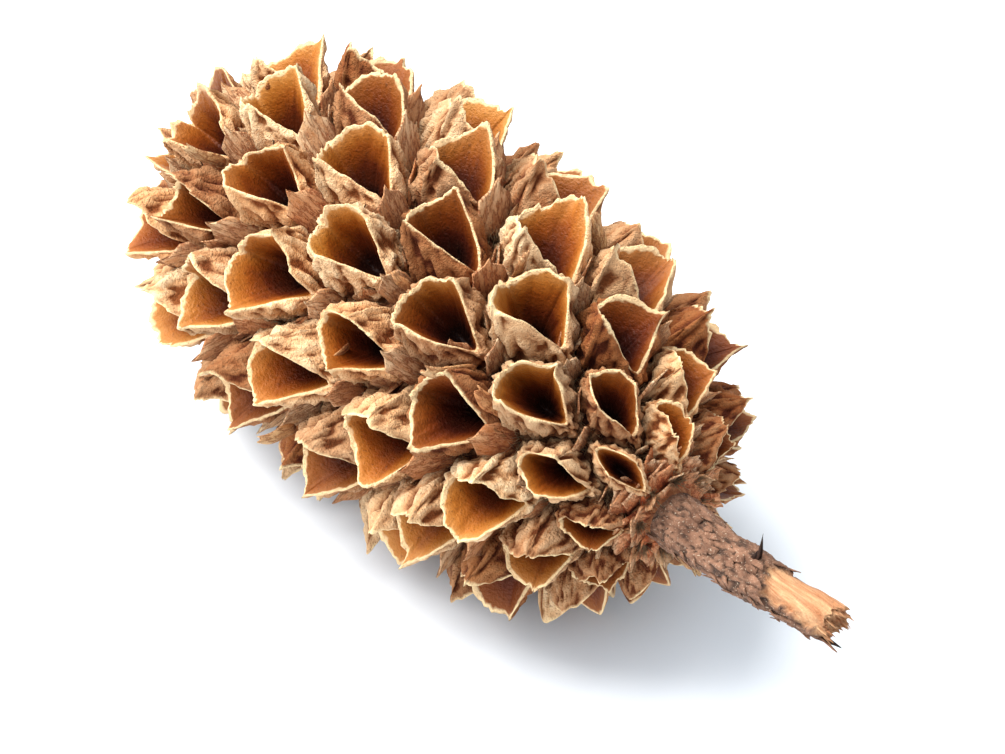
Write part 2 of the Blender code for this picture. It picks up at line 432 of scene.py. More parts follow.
def fibres_group():
    """Streaks that are long one way and fine the other, different on each copy by its tint."""
    inputs = [
        ("Vector", "NodeSocketVector", None),
        ("Across", "NodeSocketFloat", 30.0),
        ("Along", "NodeSocketFloat", 2.0),
        ("Tint", "NodeSocketFloat", 0.0),
    ]
    tree, given, put = new_group("fibres", inputs, ["Streaks", "Creases", "Relief"])
    apart = tree.add("ShaderNodeSeparateXYZ", None, i0=given["Vector"]).outputs
    across, along = tree.times(apart[0], given["Across"]), tree.times(apart[1], given["Along"])
    where = tree.add("ShaderNodeCombineXYZ", None, i0=across, i1=along, i2=apart[2]).outputs[0]
    own = tree.times(given["Tint"], 37.0)
    broad, fine = tree.noise(where, 0.6, 4.0, 0.65, W=own), tree.noise(where, 2.2, 3.0, 0.6, W=own)
    streaks = tree.plus(tree.times(broad, 0.6), tree.times(fine, 0.4))
    crease = tree.span(tree.math("ABSOLUTE", tree.minus(broad, 0.5)), 0.0, 0.045)
    tree.link(tree.span(streaks, 0.36, 0.64), put["Streaks"])
    tree.link(crease, put["Creases"])
    tree.link(tree.plus(streaks, tree.times(crease, 0.18)), put["Relief"])
    return tree.tree


FIBRES = fibres_group()


# %% The mottling effect: blotches and specks in the solid wood
def mottling_group():
    """Soft blotches and small specks, in object space, so that they run on from piece to piece."""
    inputs = [("Vector", "NodeSocketVector", None), ("Size", "NodeSocketFloat", 0.8 * MM)]
    tree, given, put = new_group("mottling", inputs, ["Blotches", "Specks", "Relief"])
    scale = tree.math("DIVIDE", 1.0, given["Size"])
    blotches = tree.noise(given["Vector"], scale, 3.0, 0.6)
    grains = tree.noise(given["Vector"], tree.times(scale, 7.0), 2.0, 0.7)
    tree.link(tree.span(blotches, 0.35, 0.68), put["Blotches"])
    tree.link(tree.span(grains, 0.60, 0.72), put["Specks"])
    tree.link(grains, put["Relief"])
    return tree.tree


MOTTLING = mottling_group()


def mottled(tree, size):
    """The mottling at its size, read from Object coordinates."""
    spots = tree.add("ShaderNodeTexCoord").outputs["Object"]
    return tree.effect(MOTTLING, Vector=spots, Size=size)


print("effects:", [group.name for group in bpy.data.node_groups])

# %% [markdown]
# ## The wood of the pockets
# One valve shows many browns. Its back is pinkish tan and ribbed, its torn lip is pale as straw, and its
# hollow face is amber. Painted shade darkens the foot, where it sinks between the pockets, and the hollow
# towards its floor. All this follows the pocket's own profile, from its foot over the lip to its floor, so
# the profile is kept as one value at each vertex. One colour ramp reads it for the back and one for the
# hollow. Streaks and blotches then break the colour up, and the ridges add painted shade in their valleys
# and painted highlights on their crests.

# %% The pocket's material
# The ramp up the back. Its first two stops are painted shade: the foot darkens where it sinks between the
# pockets.
BACK_COLOURS_AND_FOOT_SHADE = (
    (0.00, (112, 80, 50)),
    (0.06, (96, 56, 30)),
    (0.13, (168, 126, 86)),
    (0.22, (222, 188, 144)),
    (0.36, (232, 202, 160)),
    (0.45, (240, 212, 170)),
)
# The ramp down the hollow. Its last stops are painted shade: the amber darkens towards the floor, deep in the
# pocket.
HOLLOW_COLOURS_AND_DEPTH_SHADE = (
    (0.48, (226, 184, 124)),
    (0.52, (224, 168, 92)),
    (0.58, (204, 138, 56)),
    (0.65, (166, 96, 26)),
    (0.74, (104, 46, 10)),
    (0.86, (38, 11, 3)),
)
LIP_COLOUR = srgb(242, 212, 162)
MEAN_RELIEF = 0.95


def back_colour(tree, along, fibres, blotches, shade, ridges):
    """The back: blotched, redder by the valve's shade, painted shade in its valleys, painted highlights on
    ribs.
    """
    back = tree.ramp(along, BACK_COLOURS_AND_FOOT_SHADE)
    back = tree.mix(tree.times(blotches, 0.5), back, tree.mix(0.5, back, srgb(232, 200, 152)))
    reddened = tree.mix(0.8, back, srgb(232, 194, 158), "MULTIPLY")
    back = tree.mix(tree.times(shade, 0.8), back, reddened)
    # Painted shade in the valleys between the ribs, and painted highlights on the ribs' crests, both read
    # from the ribs' height.
    back = tree.stain(back, (156, 116, 84), 1.0, tree.span(ridges, 0.12, 0.50))
    back = tree.mix(tree.span(ridges, 0.55, 0.90), back, tree.mix(0.65, back, srgb(248, 226, 186)))
    back = tree.stain(back, (216, 174, 136), 0.9, fibres["Streaks"])
    return tree.stain(back, (162, 122, 90), 1.0, fibres["Creases"])


def hollow_colour(tree, along, fibres, shade):
    """The hollow face: amber with dark streaks that run down to the floor, and painted shade deeper down."""
    hollow = tree.ramp(along, HOLLOW_COLOURS_AND_DEPTH_SHADE)
    hollow = tree.stain(hollow, (176, 124, 78), 0.9, fibres["Streaks"])
    hollow = tree.stain(hollow, (150, 96, 56), 0.8, fibres["Creases"])
    reddened = tree.mix(0.9, hollow, srgb(190, 146, 112), "MULTIPLY")
    return tree.mix(tree.times(shade, 0.7), hollow, reddened)


def wood_material(name):
    """Cone wood: ribbed backs, pale lips and amber hollows, by the profile and each valve's own shade."""
    material, tree, shader = new_material(name, specular=0.22)
    profile, tint, shade, ridges = (tree.attribute(key) for key in ("profile", "tint", "shade", "ridges"))
    uv = tree.add("ShaderNodeUVMap", {"uv_map": "UVMap"}).outputs[0]
    fibres = tree.effect(FIBRES, Vector=uv, Across=44.0, Along=8.0, Tint=tint)
    mottling = mottled(tree, 0.8 * MM)
    blotches = mottling["Blotches"]
    along = tree.plus(profile, tree.times(tree.minus(blotches, 0.5), 0.05))
    inside = tree.span(profile, 0.47, 0.50)
    back = back_colour(tree, along, fibres, blotches, shade, ridges)
    wood = tree.mix(inside, back, hollow_colour(tree, along, fibres, shade))
    lip = tree.times(tree.span(along, 0.405, 0.44), tree.span(along, 0.515, 0.495))
    worn = tree.plus(0.55, tree.times(blotches, 0.45))
    wood = tree.mix(tree.times(lip, worn), wood, LIP_COLOUR)
    wood = tree.mix(tree.times(mottling["Specks"], 0.5), wood, srgb(74, 44, 26))
    rough = tree.add("ShaderNodeMapRange", None, i0=inside, i1=0.0, i2=1.0, i3=0.85, i4=0.5).outputs[0]
    relief = tree.minus(tree.plus(fibres["Relief"], tree.times(mottling["Relief"], 0.6)), MEAN_RELIEF)
    relief = tree.times(relief, tree.minus(1.0, tree.times(inside, 0.65)))
    tree.link(wood, shader["Base Color"])
    tree.link(rough, shader["Roughness"])
    tree.link(tree.bump(relief, 0.30 * MM), shader["Normal"])
    return material


POCKET_WOOD = wood_material("pocket_wood")

# %% [markdown]
# ## One pocket, modelled flat
# A pocket is a ring of wood drawn up into two pointed valves. It is modelled once, flat and at its real size,
# as a circle that is extruded again and again: up the back, over the thin lip, and down the hollow to the
# floor. Each ring has its own reach, its own pointedness and its own rise towards the two tips. Modelling
# flat keeps the shape easy to read. Wrapping it round the core comes after.

# %% The rings of a pocket
PLOT_HALF_LENGTH = (STATIONS[-1] - STATIONS[0]) / (len(STATIONS) - 1)
PLOT_HALF_WIDTH = CORE_RADIUS * ROW_ANGLE
RING_POINTS = 20
VALVE_FULLNESS = 1.35
LIP_SLIT_HEIGHT = 0.6 * MM
RIM_PROFILE = 5.5 / 12


class Ring(NamedTuple):
    """A ring's reach in its plot, how pointed it is, and its height at the slit's ends and at the tips."""

    towards_ends: float
    towards_sides: float
    pointedness: float
    slit_height: float
    tip_height: float


POCKET_RINGS = (
    Ring(1.04, 1.04, 1.90, -0.10 * MM, -0.10 * MM),
    Ring(0.86, 0.78, 1.60, 0.05 * MM, 0.10 * MM),
    Ring(0.82, 0.80, 1.52, 0.28 * MM, 0.75 * MM),
    Ring(0.80, 0.80, 1.50, 0.50 * MM, 1.50 * MM),
    Ring(0.75, 0.76, 1.54, 0.68 * MM, 2.15 * MM),
    Ring(0.69, 0.70, 1.60, 0.66 * MM, 2.80 * MM),
    Ring(0.63, 0.64, 1.56, 0.62 * MM, 2.77 * MM),
    Ring(0.57, 0.56, 1.46, 0.42 * MM, 2.26 * MM),
    Ring(0.49, 0.46, 1.34, 0.14 * MM, 1.60 * MM),
    Ring(0.38, 0.34, 1.20, -0.10 * MM, 0.90 * MM),
    Ring(0.24, 0.215, 1.08, -0.38 * MM, 0.18 * MM),
    Ring(0.10, 0.07, 1.00, -0.62 * MM, -0.52 * MM),
)


def shape_ring(piece, ring, profile):
    """Puts the selected loop of vertices where its ring says, and notes how far up the profile it is."""
    mesh = bmesh.from_edit_mesh(piece.data)
    layers = mesh.verts.layers.float
    for vertex in mesh.verts:
        if not vertex.select:
            continue
        to_end, to_side = vertex[layers["to_end"]], vertex[layers["to_side"]]
        along = math.copysign(abs(to_end) ** ring.pointedness, to_end) * ring.towards_ends
        side = math.copysign(abs(to_side) ** ring.pointedness, to_side) * ring.towards_sides
        height = ring.slit_height + (ring.tip_height - ring.slit_height) * abs(to_side) ** VALVE_FULLNESS
        vertex.co = (along * PLOT_HALF_LENGTH, side * PLOT_HALF_WIDTH, height)
        vertex[layers["profile"]] = profile
    bmesh.update_edit_mesh(piece.data)


# %% Draw the pocket up, ring by ring
def model_pocket():
    """Each vertex keeps its direction round the pocket, which extruding hands on to the next loop."""
    deselect_all()
    bpy.ops.mesh.primitive_circle_add(vertices=RING_POINTS, radius=PLOT_HALF_WIDTH)
    pocket = start("pocket_pattern")
    edit(pocket)
    mesh = bmesh.from_edit_mesh(pocket.data)
    for name in ("to_end", "to_side", "profile"):
        mesh.verts.layers.float.new(name)
    layers = mesh.verts.layers.float
    for vertex in mesh.verts:
        vertex[layers["to_end"]] = vertex.co.x / PLOT_HALF_WIDTH
        vertex[layers["to_side"]] = vertex.co.y / PLOT_HALF_WIDTH
    bmesh.update_edit_mesh(pocket.data)
    for number, ring in enumerate(POCKET_RINGS):
        if number:
            bpy.ops.mesh.extrude_edges_move()
        shape_ring(pocket, ring, number / len(POCKET_RINGS))
    bpy.ops.mesh.edge_face_add()
    close_up()
    subdivided(pocket, 2)
    return pocket


POCKET = model_pocket()
facing = "up" if POCKET.data.polygons[-1].normal.z > 0 else "down"
print("pocket:", len(POCKET.data.polygons), "faces, its floor facing", facing)

# %% Give the pocket its own map, and close it underneath
SKIRT_DEPTH = 0.75 * MM


def map_round_and_up(piece):
    """The map runs round the pocket in U and up its profile in V. It may pass 1 where the round closes."""
    mesh = piece.data
    turn = np.arctan2(values_of(piece, "to_side"), values_of(piece, "to_end")) / math.tau
    profile = values_of(piece, "profile")
    corners = np.empty(len(mesh.loops), int)
    mesh.loops.foreach_get("vertex_index", corners)
    round_it = turn[corners].reshape(-1, 4)
    wraps = np.ptp(round_it, axis=1) > 0.5
    round_it[wraps] = np.where(round_it[wraps] < 0.0, round_it[wraps] + 1.0, round_it[wraps])
    spots = np.stack([round_it.ravel(), profile[corners]], axis=1)
    mesh.uv_layers.new(name="UVMap").data.foreach_set("uv", spots.astype(np.float32).ravel())


def close_underneath(piece):
    edit(piece)
    bpy.ops.mesh.select_mode(type="EDGE")
    bpy.ops.mesh.select_all(action="DESELECT")
    bpy.ops.mesh.select_non_manifold()
    bpy.ops.mesh.extrude_edges_move(TRANSFORM_OT_translate={"value": (0.0, 0.0, -SKIRT_DEPTH)})
    bpy.ops.transform.resize(value=(0.8, 0.8, 1.0), center_override=(0.0, 0.0, 0.0))
    bpy.ops.mesh.edge_face_add()
    close_up()


map_round_and_up(POCKET)
close_underneath(POCKET)

# %% [markdown]
# ## Wrapping the pockets round the core
# Each pocket is a copy of the pattern with its own mesh. Its flat places are read as shares of its plot on
# the core, and put there. No two valves on a real cone are alike, so each copy draws its own height, reach
# and lean, how far it is closed, and then its own ribs, folds and ragged lip. The draws are seeded, so the
# cone is the same each time. The valves that the cone lies on stay as they are.

# %% How one valve differs from the next
SEED = 7
VALVE_SEED = SEED * 100003
HEIGHT_SPREAD = 0.10
REACH_SPREAD = 0.06
LEAN_SPREAD = 0.10
TIP_SHIFT_SPREAD = 0.20
VALVE_TIP_SIDE = 0.45
UNDERSIDE_ANGLE = math.radians(45.0)


class Valve:
    """One half of a pocket's beak, with its own height, reach and lean, and how free it is to differ."""

    def __init__(self, whorl, row, side):
        draw = random.Random(VALVE_SEED + (whorl * ROWS + row) * 2 + (side > 0))
        angle = (row + side * VALVE_TIP_SIDE) * ROW_ANGLE + ROLL
        self.free = min(1.0, abs(math.remainder(angle, math.tau)) / UNDERSIDE_ANGLE) ** 3
        size = whorl_size(whorl)
        self.height = size * (1.0 + self.free * draw.uniform(-HEIGHT_SPREAD, HEIGHT_SPREAD))
        self.reach = 1.0 + self.free * draw.uniform(-REACH_SPREAD, REACH_SPREAD)
        self.lean = self.free * draw.uniform(-LEAN_SPREAD, LEAN_SPREAD)
        self.sharpness = VALVE_FULLNESS + self.free * draw.uniform(-0.45, 0.9)
        self.curl = self.free * draw.uniform(-0.13, 0.05)
        self.tip_shift = self.free * draw.uniform(-TIP_SHIFT_SPREAD, TIP_SHIFT_SPREAD)
        redder_at_stalk = max(0.0, 0.5 - 0.2 * whorl)
        self.shade = min(1.0, draw.random() * 0.9 + redder_at_stalk)
        self.point = self.free * draw.uniform(0.0, 0.9)


# %% Waves and creases round a pocket
LUMPS = 10


def waves(turn, counts, strength, draw):
    """A smooth random line round a pocket: a few sines that close on themselves."""
    line = np.zeros_like(turn)
    for count in counts:
        line += draw.normal() / math.sqrt(count) * np.sin(count * turn + draw.uniform(0.0, math.tau))
    return strength * line


def creases(turn, profile, counts, strength, draw):
    """Ridges with sharp valleys between them, as on wrinkled wood. They wander along the profile."""
    relief = np.zeros_like(turn)
    for count in counts:
        wander = 1.2 * np.sin(9.0 * profile + draw.uniform(0.0, math.tau))
        ridges = np.abs(np.sin(0.5 * count * turn + draw.uniform(0.0, math.pi) + wander))
        relief += (ridges - 0.64) / count**0.5
    return strength * relief


def lumps(turn, profile, strength, draw):
    """Low lumps that break the ridges up."""
    relief = np.zeros_like(turn)
    for _ in range(LUMPS):
        across = np.sin(draw.integers(5, 20) * turn + draw.uniform(0.0, math.tau))
        size = draw.normal()
        along = np.sin(draw.uniform(14.0, 50.0) * profile + draw.uniform(0.0, math.tau))
        relief += size * across * along
    return strength * relief / 2.0


def noise_at(spots, size, offset):
    """Smooth noise from -1 to 1 at each spot, with features of a given size."""
    shift = Vector((offset, 0.0, 0.0))
    return np.array([noise.noise(Vector(spot) + shift) for spot in spots / size])


# %% How far a pocket is closed
CLOSED_AT_STALK = ((0.65, 1.0), (0.50, 0.85), (0.20, 0.60), (0.05, 0.45))
CLOSED_AT_APEX = ((0.45, 0.85), (0.15, 0.55))
CLOSED_ELSEWHERE = (0.15, 0.72)
CLOSED_MORE = 0.3
CLOSED_MORE_SHARE = 0.15


def closed_share(whorl, draw):
    """Pockets at both ends hardly opened, those beside the stalk least of all."""
    if whorl < len(CLOSED_AT_STALK):
        return draw.uniform(*CLOSED_AT_STALK[whorl])
    if WHORLS - 1 - whorl < len(CLOSED_AT_APEX):
        return draw.uniform(*CLOSED_AT_APEX[WHORLS - 1 - whorl])
    return draw.uniform(*CLOSED_ELSEWHERE) + CLOSED_MORE * (draw.random() < CLOSED_MORE_SHARE)


# %% Where each vertex of the pattern is, and how strong its unevenness is
FLAT = spots_of(POCKET)
TURN = np.arctan2(values_of(POCKET, "to_side"), values_of(POCKET, "to_end"))
PROFILE = values_of(POCKET, "profile")
STEEPNESS = np.abs(np.sin(TURN))
RISE = STEEPNESS**2
UPPER = held(FLAT[:, 2] / VALVE_HEIGHT)
ON_BACK = held(PROFILE / 0.10) * held((RIM_PROFILE - 0.02 - PROFILE) / 0.10)
IN_HOLLOW = held((PROFILE - RIM_PROFILE - 0.03) / 0.08)
ON_RIM = np.exp(-(((PROFILE - RIM_PROFILE) / 0.09) ** 2))
TOWARDS_APEX = held(np.cos(TURN)) ** 2
UP_TO_LIP = np.interp(PROFILE, (0.0, RIM_PROFILE, 0.9), (0.0, 1.0, 0.0))
APEXWARD_LIP_RISE = 0.80 * MM
FINE_RAGS = 0.10 * MM
BROAD_RAGS = 0.12 * MM
RIB_COUNTS = (7, 12, 19, 29, 41)
RIB_HEIGHT = 0.42 * MM
LUMP_HEIGHT = 0.055 * MM
STREAK_COUNTS = (11, 19, 31)
STREAK_HEIGHT = 0.11 * MM
BROAD_FOLD = 0.50 * MM
FINE_FOLD = 0.26 * MM
FOLD_HEIGHT = 0.14 * MM
SIDE_WAVES = 0.055
CLOSING = 0.60
POCKET_SEED = SEED * 7919


# %% Put a copy of the pocket in its plot
def wrap_pocket(copy, whorl, row):
    draw = np.random.default_rng(POCKET_SEED + whorl * ROWS + row)
    valves = Valve(whorl, row, -1), Valve(whorl, row, 1)
    along, side, height = FLAT[:, 0] / PLOT_HALF_LENGTH, FLAT[:, 1] / PLOT_HALF_WIDTH, FLAT[:, 2].copy()
    second = 0.5 + 0.5 * np.tanh(side / 0.12)

    def of_valve(name):
        low, high = (getattr(valve, name) for valve in valves)
        return low + (high - low) * second

    free = of_valve("free")
    plain_line = LIP_SLIT_HEIGHT + (VALVE_HEIGHT - LIP_SLIT_HEIGHT) * STEEPNESS**VALVE_FULLNESS
    own_line = LIP_SLIT_HEIGHT + (VALVE_HEIGHT - LIP_SLIT_HEIGHT) * STEEPNESS ** of_valve("sharpness")
    height *= 1.0 + (own_line / plain_line - 1.0) * UPPER
    height *= of_valve("height")
    ragged = waves(TURN, range(11, 40, 4), FINE_RAGS, draw) + waves(TURN, range(3, 9), BROAD_RAGS, draw)
    height += free * ON_RIM * ragged
    height += free * APEXWARD_LIP_RISE * whorl_size(whorl) * TOWARDS_APEX * UP_TO_LIP
    side *= 1.0 + (of_valve("reach") - 1.0) * RISE
    side += np.sign(side) * free * UPPER**2 * RISE * of_valve("curl")
    side *= 1.0 + free * UPPER * waves(TURN, (3, 4, 5, 7), SIDE_WAVES, draw)
    closed = free * closed_share(whorl, draw)
    side *= 1.0 - CLOSING * closed * UPPER**0.7
    along += 0.10 * closed * waves(2.0 * side, (1, 2), 1.0, draw) * UPPER
    along *= np.maximum(1.0 - RISE, 0.02) ** (0.5 * of_valve("point") * UPPER)
    along += (of_valve("lean") + of_valve("tip_shift") * UPPER) * RISE * height / VALVE_HEIGHT
    smooth = plot_point(whorl, row, along, side, height)
    set_spots(copy, smooth)

    ribs = creases(TURN, PROFILE, RIB_COUNTS, RIB_HEIGHT, draw) + lumps(TURN, PROFILE, LUMP_HEIGHT, draw)
    streaks = creases(TURN, PROFILE, STREAK_COUNTS, STREAK_HEIGHT, draw)
    broad, fine = noise_at(smooth, BROAD_FOLD, 0.0), noise_at(smooth, FINE_FOLD, 50.0)
    ribs += FOLD_HEIGHT * (0.45 - np.abs(broad) - 0.7 * np.abs(fine)) * (1.0 + closed)
    relief = (ribs * ON_BACK + streaks * IN_HOLLOW) * (0.25 + 0.75 * free) * whorl_size(whorl)
    normals = read(copy.data.vertex_normals, "vector", 3)
    set_spots(copy, spots_of(copy) + normals * relief[:, None])
    set_values(copy.data, "ridges", held(0.5 + ribs * ON_BACK / (0.2 * MM)))
    set_values(copy.data, "tint", draw.random())
    set_values(copy.data, "shade", of_valve("shade"))


# %% Dress the cone, whorl by whorl
def dress_whorl(whorl):
    """Wraps a copy of the pocket for each row, and joins them into one piece."""
    copies = []
    for row in rows_of(whorl):
        copy = bpy.data.objects.new(f"pocket_{whorl}_{row}", POCKET.data.copy())
        bpy.context.scene.collection.objects.link(copy)
        wrap_pocket(copy, whorl, row)
        copies.append(copy)
    activate(copies[0])
    for copy in copies:
        copy.select_set(True)
    bpy.ops.object.join()
    piece = bpy.context.object
    piece.name = piece.data.name = f"pockets_{whorl + 1:02d}"
    return piece


for whorl in range(WHORLS):
    finish_piece(dress_whorl(whorl), POCKET_WOOD, "cone")
bpy.data.objects.remove(POCKET)

# %% [markdown]
# ## Many small copies
# Bracts, hairs, flakes and splinters are each modelled once and then copied many times. Each copy is turned
# to stand on its own spot. Any spot of the core has three directions that a copy needs: outwards, towards
# the apex, and round the cone.

# %% The directions at a spot of the core, and a copy's place there
NEIGHBOUR_STEP = 0.05 * MM


def directions_at(arc, angle):
    """The spot on the core, and the outward, apexward and sideways directions there."""
    spot = Vector(place(arc, angle, 0.0))
    outward = (Vector(place(arc, angle, MM)) - spot).normalized()
    ends = max(arc - NEIGHBOUR_STEP, 0.0), min(arc + NEIGHBOUR_STEP, OUTLINE_LENGTH)
    towards_apex = (Vector(place(ends[1], angle, 0.0)) - Vector(place(ends[0], angle, 0.0))).normalized()
    return spot, outward, towards_apex, outward.cross(towards_apex).normalized()


def standing(spot, up, facing, size):
    """The matrix of a copy whose own Z points up and whose own Y points near to facing."""
    up = up.normalized()
    across = facing.cross(up).normalized()
    turned = Matrix((across, up.cross(across), up)).transposed()
    return Matrix.Translation(spot) @ turned.to_4x4() @ Matrix.Diagonal((*size, 1.0))


def note_profile(piece):
    """Keeps each vertex's height, from 0 at the foot to 1 at the tip, and its place across."""
    spots = spots_of(piece)
    set_values(piece.data, "profile", (spots[:, 2] - spots[:, 2].min()) / np.ptp(spots[:, 2]))
    set_values(piece.data, "across", spots[:, 0])


def scatter(pattern, places, name, draw, material, node):
    """One finished piece of many copies of a pattern, each with its own mesh part, place and tint."""
    spots = spots_of(pattern)
    sizes = np.array([len(face.vertices) for face in pattern.data.polygons])
    corners = np.array([corner for face in pattern.data.polygons for corner in face.vertices])
    mesh = bpy.data.meshes.new(name)
    mesh.vertices.add(len(spots) * len(places))
    mesh.loops.add(len(corners) * len(places))
    mesh.polygons.add(len(sizes) * len(places))
    shifts = np.arange(len(places)) * len(spots)
    mesh.loops.foreach_set("vertex_index", (corners[None, :] + shifts[:, None]).ravel())
    starts = np.concatenate([[0], np.cumsum(np.tile(sizes, len(places)))[:-1]])
    mesh.polygons.foreach_set("loop_start", starts)
    moved = [spots @ np.array(matrix)[:3, :3].T + np.array(matrix)[:3, 3] for matrix in places]
    mesh.vertices.foreach_set("co", np.concatenate(moved).astype(np.float32).ravel())
    mesh.update(calc_edges=True)
    set_values(mesh, "tint", np.repeat([draw.random() for _ in places], len(spots)))
    for kept in ("profile", "across"):
        set_values(mesh, kept, np.tile(values_of(pattern, kept), len(places)))
    piece = bpy.data.objects.new(name, mesh)
    bpy.context.scene.collection.objects.link(piece)
    finish_piece(piece, material, node)
    return piece


# %% [markdown]
# ## The core
# Between the pockets' feet one can see a little of the cone's own body, and it closes the cone at both poles.
# A globe is drawn out along the outline. It lies below the pockets' floors, and comes up to the surface at
# the two ends, where no pocket covers it.

# %% Core
CORE_SINK = 0.85 * MM
CORE_END_STRETCH = 2.6 * MM


def model_core():
    deselect_all()
    bpy.ops.mesh.primitive_uv_sphere_add(segments=64, ring_count=48, radius=1.0)
    core = start("core")
    spots = spots_of(core)
    arc = np.arccos(np.clip(spots[:, 2], -1.0, 1.0)) / math.pi * OUTLINE_LENGTH
    angle = np.arctan2(spots[:, 1], spots[:, 0])
    from_end = np.minimum(arc, OUTLINE_LENGTH - arc) / CORE_END_STRETCH
    set_spots(core, place(arc, angle, -CORE_SINK * held(from_end - 0.4)))
    for name, value in (("profile", 0.05), ("tint", 0.5), ("across", 0.5)):
        set_values(core.data, name, value)
    return core


# %% [markdown]
# ## Bracts
# A small pointed bract stands in each gap between two pockets of a row, and its pale tip shows between them.
# Loose scales of the same kind lean on the pockets' backs, and round the stalk they lie like shingles in a
# reddish collar. A bract is a thin scale: a small block is cut into bands, drawn to a point, and furrowed.

# %% One bract, one unit high
BRACT_BANDS = (
    (0.25, 1.05, 1.1, 0.02),
    (0.5, 1.0, 0.9, 0.07),
    (0.75, 0.78, 0.7, 0.10),
    (1.0, 0.34, 0.4, 0.02),
)


def model_bract():
    """Each band has its height, its width and depth, and how far it bows. Two furrows run up the bract."""
    deselect_all()
    bpy.ops.mesh.primitive_cube_add(size=1.0, location=(0.0, 0.0, 0.5))
    bract = start("bract_pattern")
    edit(bract)
    bpy.ops.transform.resize(value=(0.9, 0.2, 1.0), center_override=(0.0, 0.0, 0.0))
    bpy.ops.mesh.subdivide(number_cuts=3)
    for level, width, depth, bow in BRACT_BANDS:
        select_at_height(bract, level)
        bpy.ops.transform.resize(value=(width, depth, 1.0), center_override=(0.0, 0.0, 0.0))
        bpy.ops.transform.translate(value=(0.0, bow, 0.0))
    bpy.ops.object.mode_set(mode="OBJECT")
    spots = spots_of(bract)
    across = spots[:, 0].copy()
    furrows = np.abs(np.sin(7.0 * across)) * (1.0 - 0.6 * spots[:, 2])
    spots[:, 1] += 0.10 * furrows + 0.5 * across**2
    spots[:, 0] += 0.07 * np.sin(9.0 * spots[:, 2] + 2.0 * np.sign(across))
    spots[:, 2] += 0.10 * np.cos(14.0 * across) * spots[:, 2]
    set_spots(bract, spots)
    note_profile(bract)
    return bract


BRACT = model_bract()
print("bract:", len(BRACT.data.polygons), "faces")

# %% A bract in each gap
BRACT_SINK = 0.25 * MM


def bract_places(draw):
    places = []
    for whorl in WHORL_NUMBERS:
        for row in range(ROWS):
            if (whorl + row) % 2 == 0:
                continue
            size = whorl_size(whorl) * draw.uniform(0.85, 1.2)
            shift = draw.uniform(-0.12, 0.12)
            arc = STATIONS[whorl + 1] + draw.uniform(-0.15, 0.15) * MM
            spot, outward, apexward, aside = directions_at(arc, (row + shift) * ROW_ANGLE)
            up = outward + apexward * draw.uniform(-0.1, 0.45) + aside * draw.uniform(-0.25, 0.25)
            facing = apexward + aside * draw.uniform(-0.4, 0.4)
            width, height = draw.uniform(1.0, 1.6) * size * MM, 1.85 * BRACT_HEIGHT * size
            own_size = width, 0.6 * MM * size, height
            places.append(standing(spot - outward * BRACT_SINK, up, facing, own_size))
    return places


# %% Loose scales on the pockets' backs
SCALE_SINK = 0.2 * MM
BACK_SCALE_SHARE = 0.6
BACK_SCALES_FROM_WHORL = 2


def back_scale_places(draw):
    """The scales stand along the edges of the plots, away from the pocket's middle."""
    places = []
    for whorl in range(BACK_SCALES_FROM_WHORL, WHORLS):
        for row in rows_of(whorl):
            centre = Vector(place(STATIONS[whorl + 1], row * ROW_ANGLE, 0.0))
            for along, side in ((0.5, 0.5), (0.5, -0.5), (-0.5, 0.5), (-0.5, -0.5)):
                if draw.random() > BACK_SCALE_SHARE:
                    continue
                reach = draw.uniform(0.84, 1.04)
                arc = arc_at(whorl + along * reach)
                spot, outward, _, aside = directions_at(arc, (row + side * reach) * ROW_ANGLE)
                away = spot - centre
                away = (away - outward * away.dot(outward)).normalized()
                up = outward + away * draw.uniform(-0.05, 0.35) + aside * draw.uniform(-0.3, 0.3)
                size = whorl_size(whorl) * MM
                width, height = draw.uniform(0.8, 1.4) * size, draw.uniform(0.9, 1.8) * size
                own_size = width, 0.5 * size, height
                places.append(standing(spot - outward * SCALE_SINK, up, away, own_size))
    return places


# %% A collar of scales round the stalk
COLLAR_RINGS = (
    (0.98 * MM, 12, 0.75, 1.3),
    (1.25 * MM, 13, 0.90, 1.2),
    (1.60 * MM, 17, 1.00, 1.0),
    (2.00 * MM, 20, 1.00, 0.9),
)
COLLAR_CLEARANCE = 0.78


def in_a_hollow(arc, angle, reach):
    """True inside a pocket, where nothing small should stand. The reach is a share of the pocket's plot."""
    at_whorl = float(np.interp(arc, STATIONS, WHORL_NUMBERS))
    for whorl in (math.floor(at_whorl), math.floor(at_whorl) + 1):
        if 0 <= whorl < WHORLS:
            across = min(abs(math.remainder(angle / ROW_ANGLE - row, ROWS)) for row in rows_of(whorl))
            if math.hypot(at_whorl - whorl, across) < reach:
                return True
    return False


def collar_places(draw):
    """Each ring has its distance from the pole, how many scales, their size, and how they lean."""
    places = []
    for arc, count, big, lean in COLLAR_RINGS:
        for number in range(count):
            angle = math.tau * (number + draw.uniform(-0.45, 0.45)) / count
            if in_a_hollow(arc, angle, COLLAR_CLEARANCE):
                continue
            spot, outward, apexward, aside = directions_at(arc + draw.uniform(-0.12, 0.12) * MM, angle)
            up = outward + apexward * (lean + draw.uniform(-0.35, 0.35)) + aside * draw.uniform(-0.4, 0.4)
            size = big * draw.uniform(0.7, 1.15) * MM
            facing = aside * draw.uniform(-0.35, 0.35) - outward
            places.append(standing(spot - outward * SCALE_SINK, up, facing, (1.25 * size, 0.7 * size, size)))
    return places


# %% The material of bracts and other small dry pieces
BRACT_COLOURS = (
    (0.00, (150, 96, 58)),
    (0.25, (222, 172, 126)),
    (0.50, (246, 208, 164)),
    (1.00, (255, 234, 194)),
)
COLLAR_COLOURS = (
    (0.00, (150, 88, 54)),
    (0.30, (232, 152, 104)),
    (0.60, (252, 196, 148)),
    (1.00, (255, 230, 194)),
)


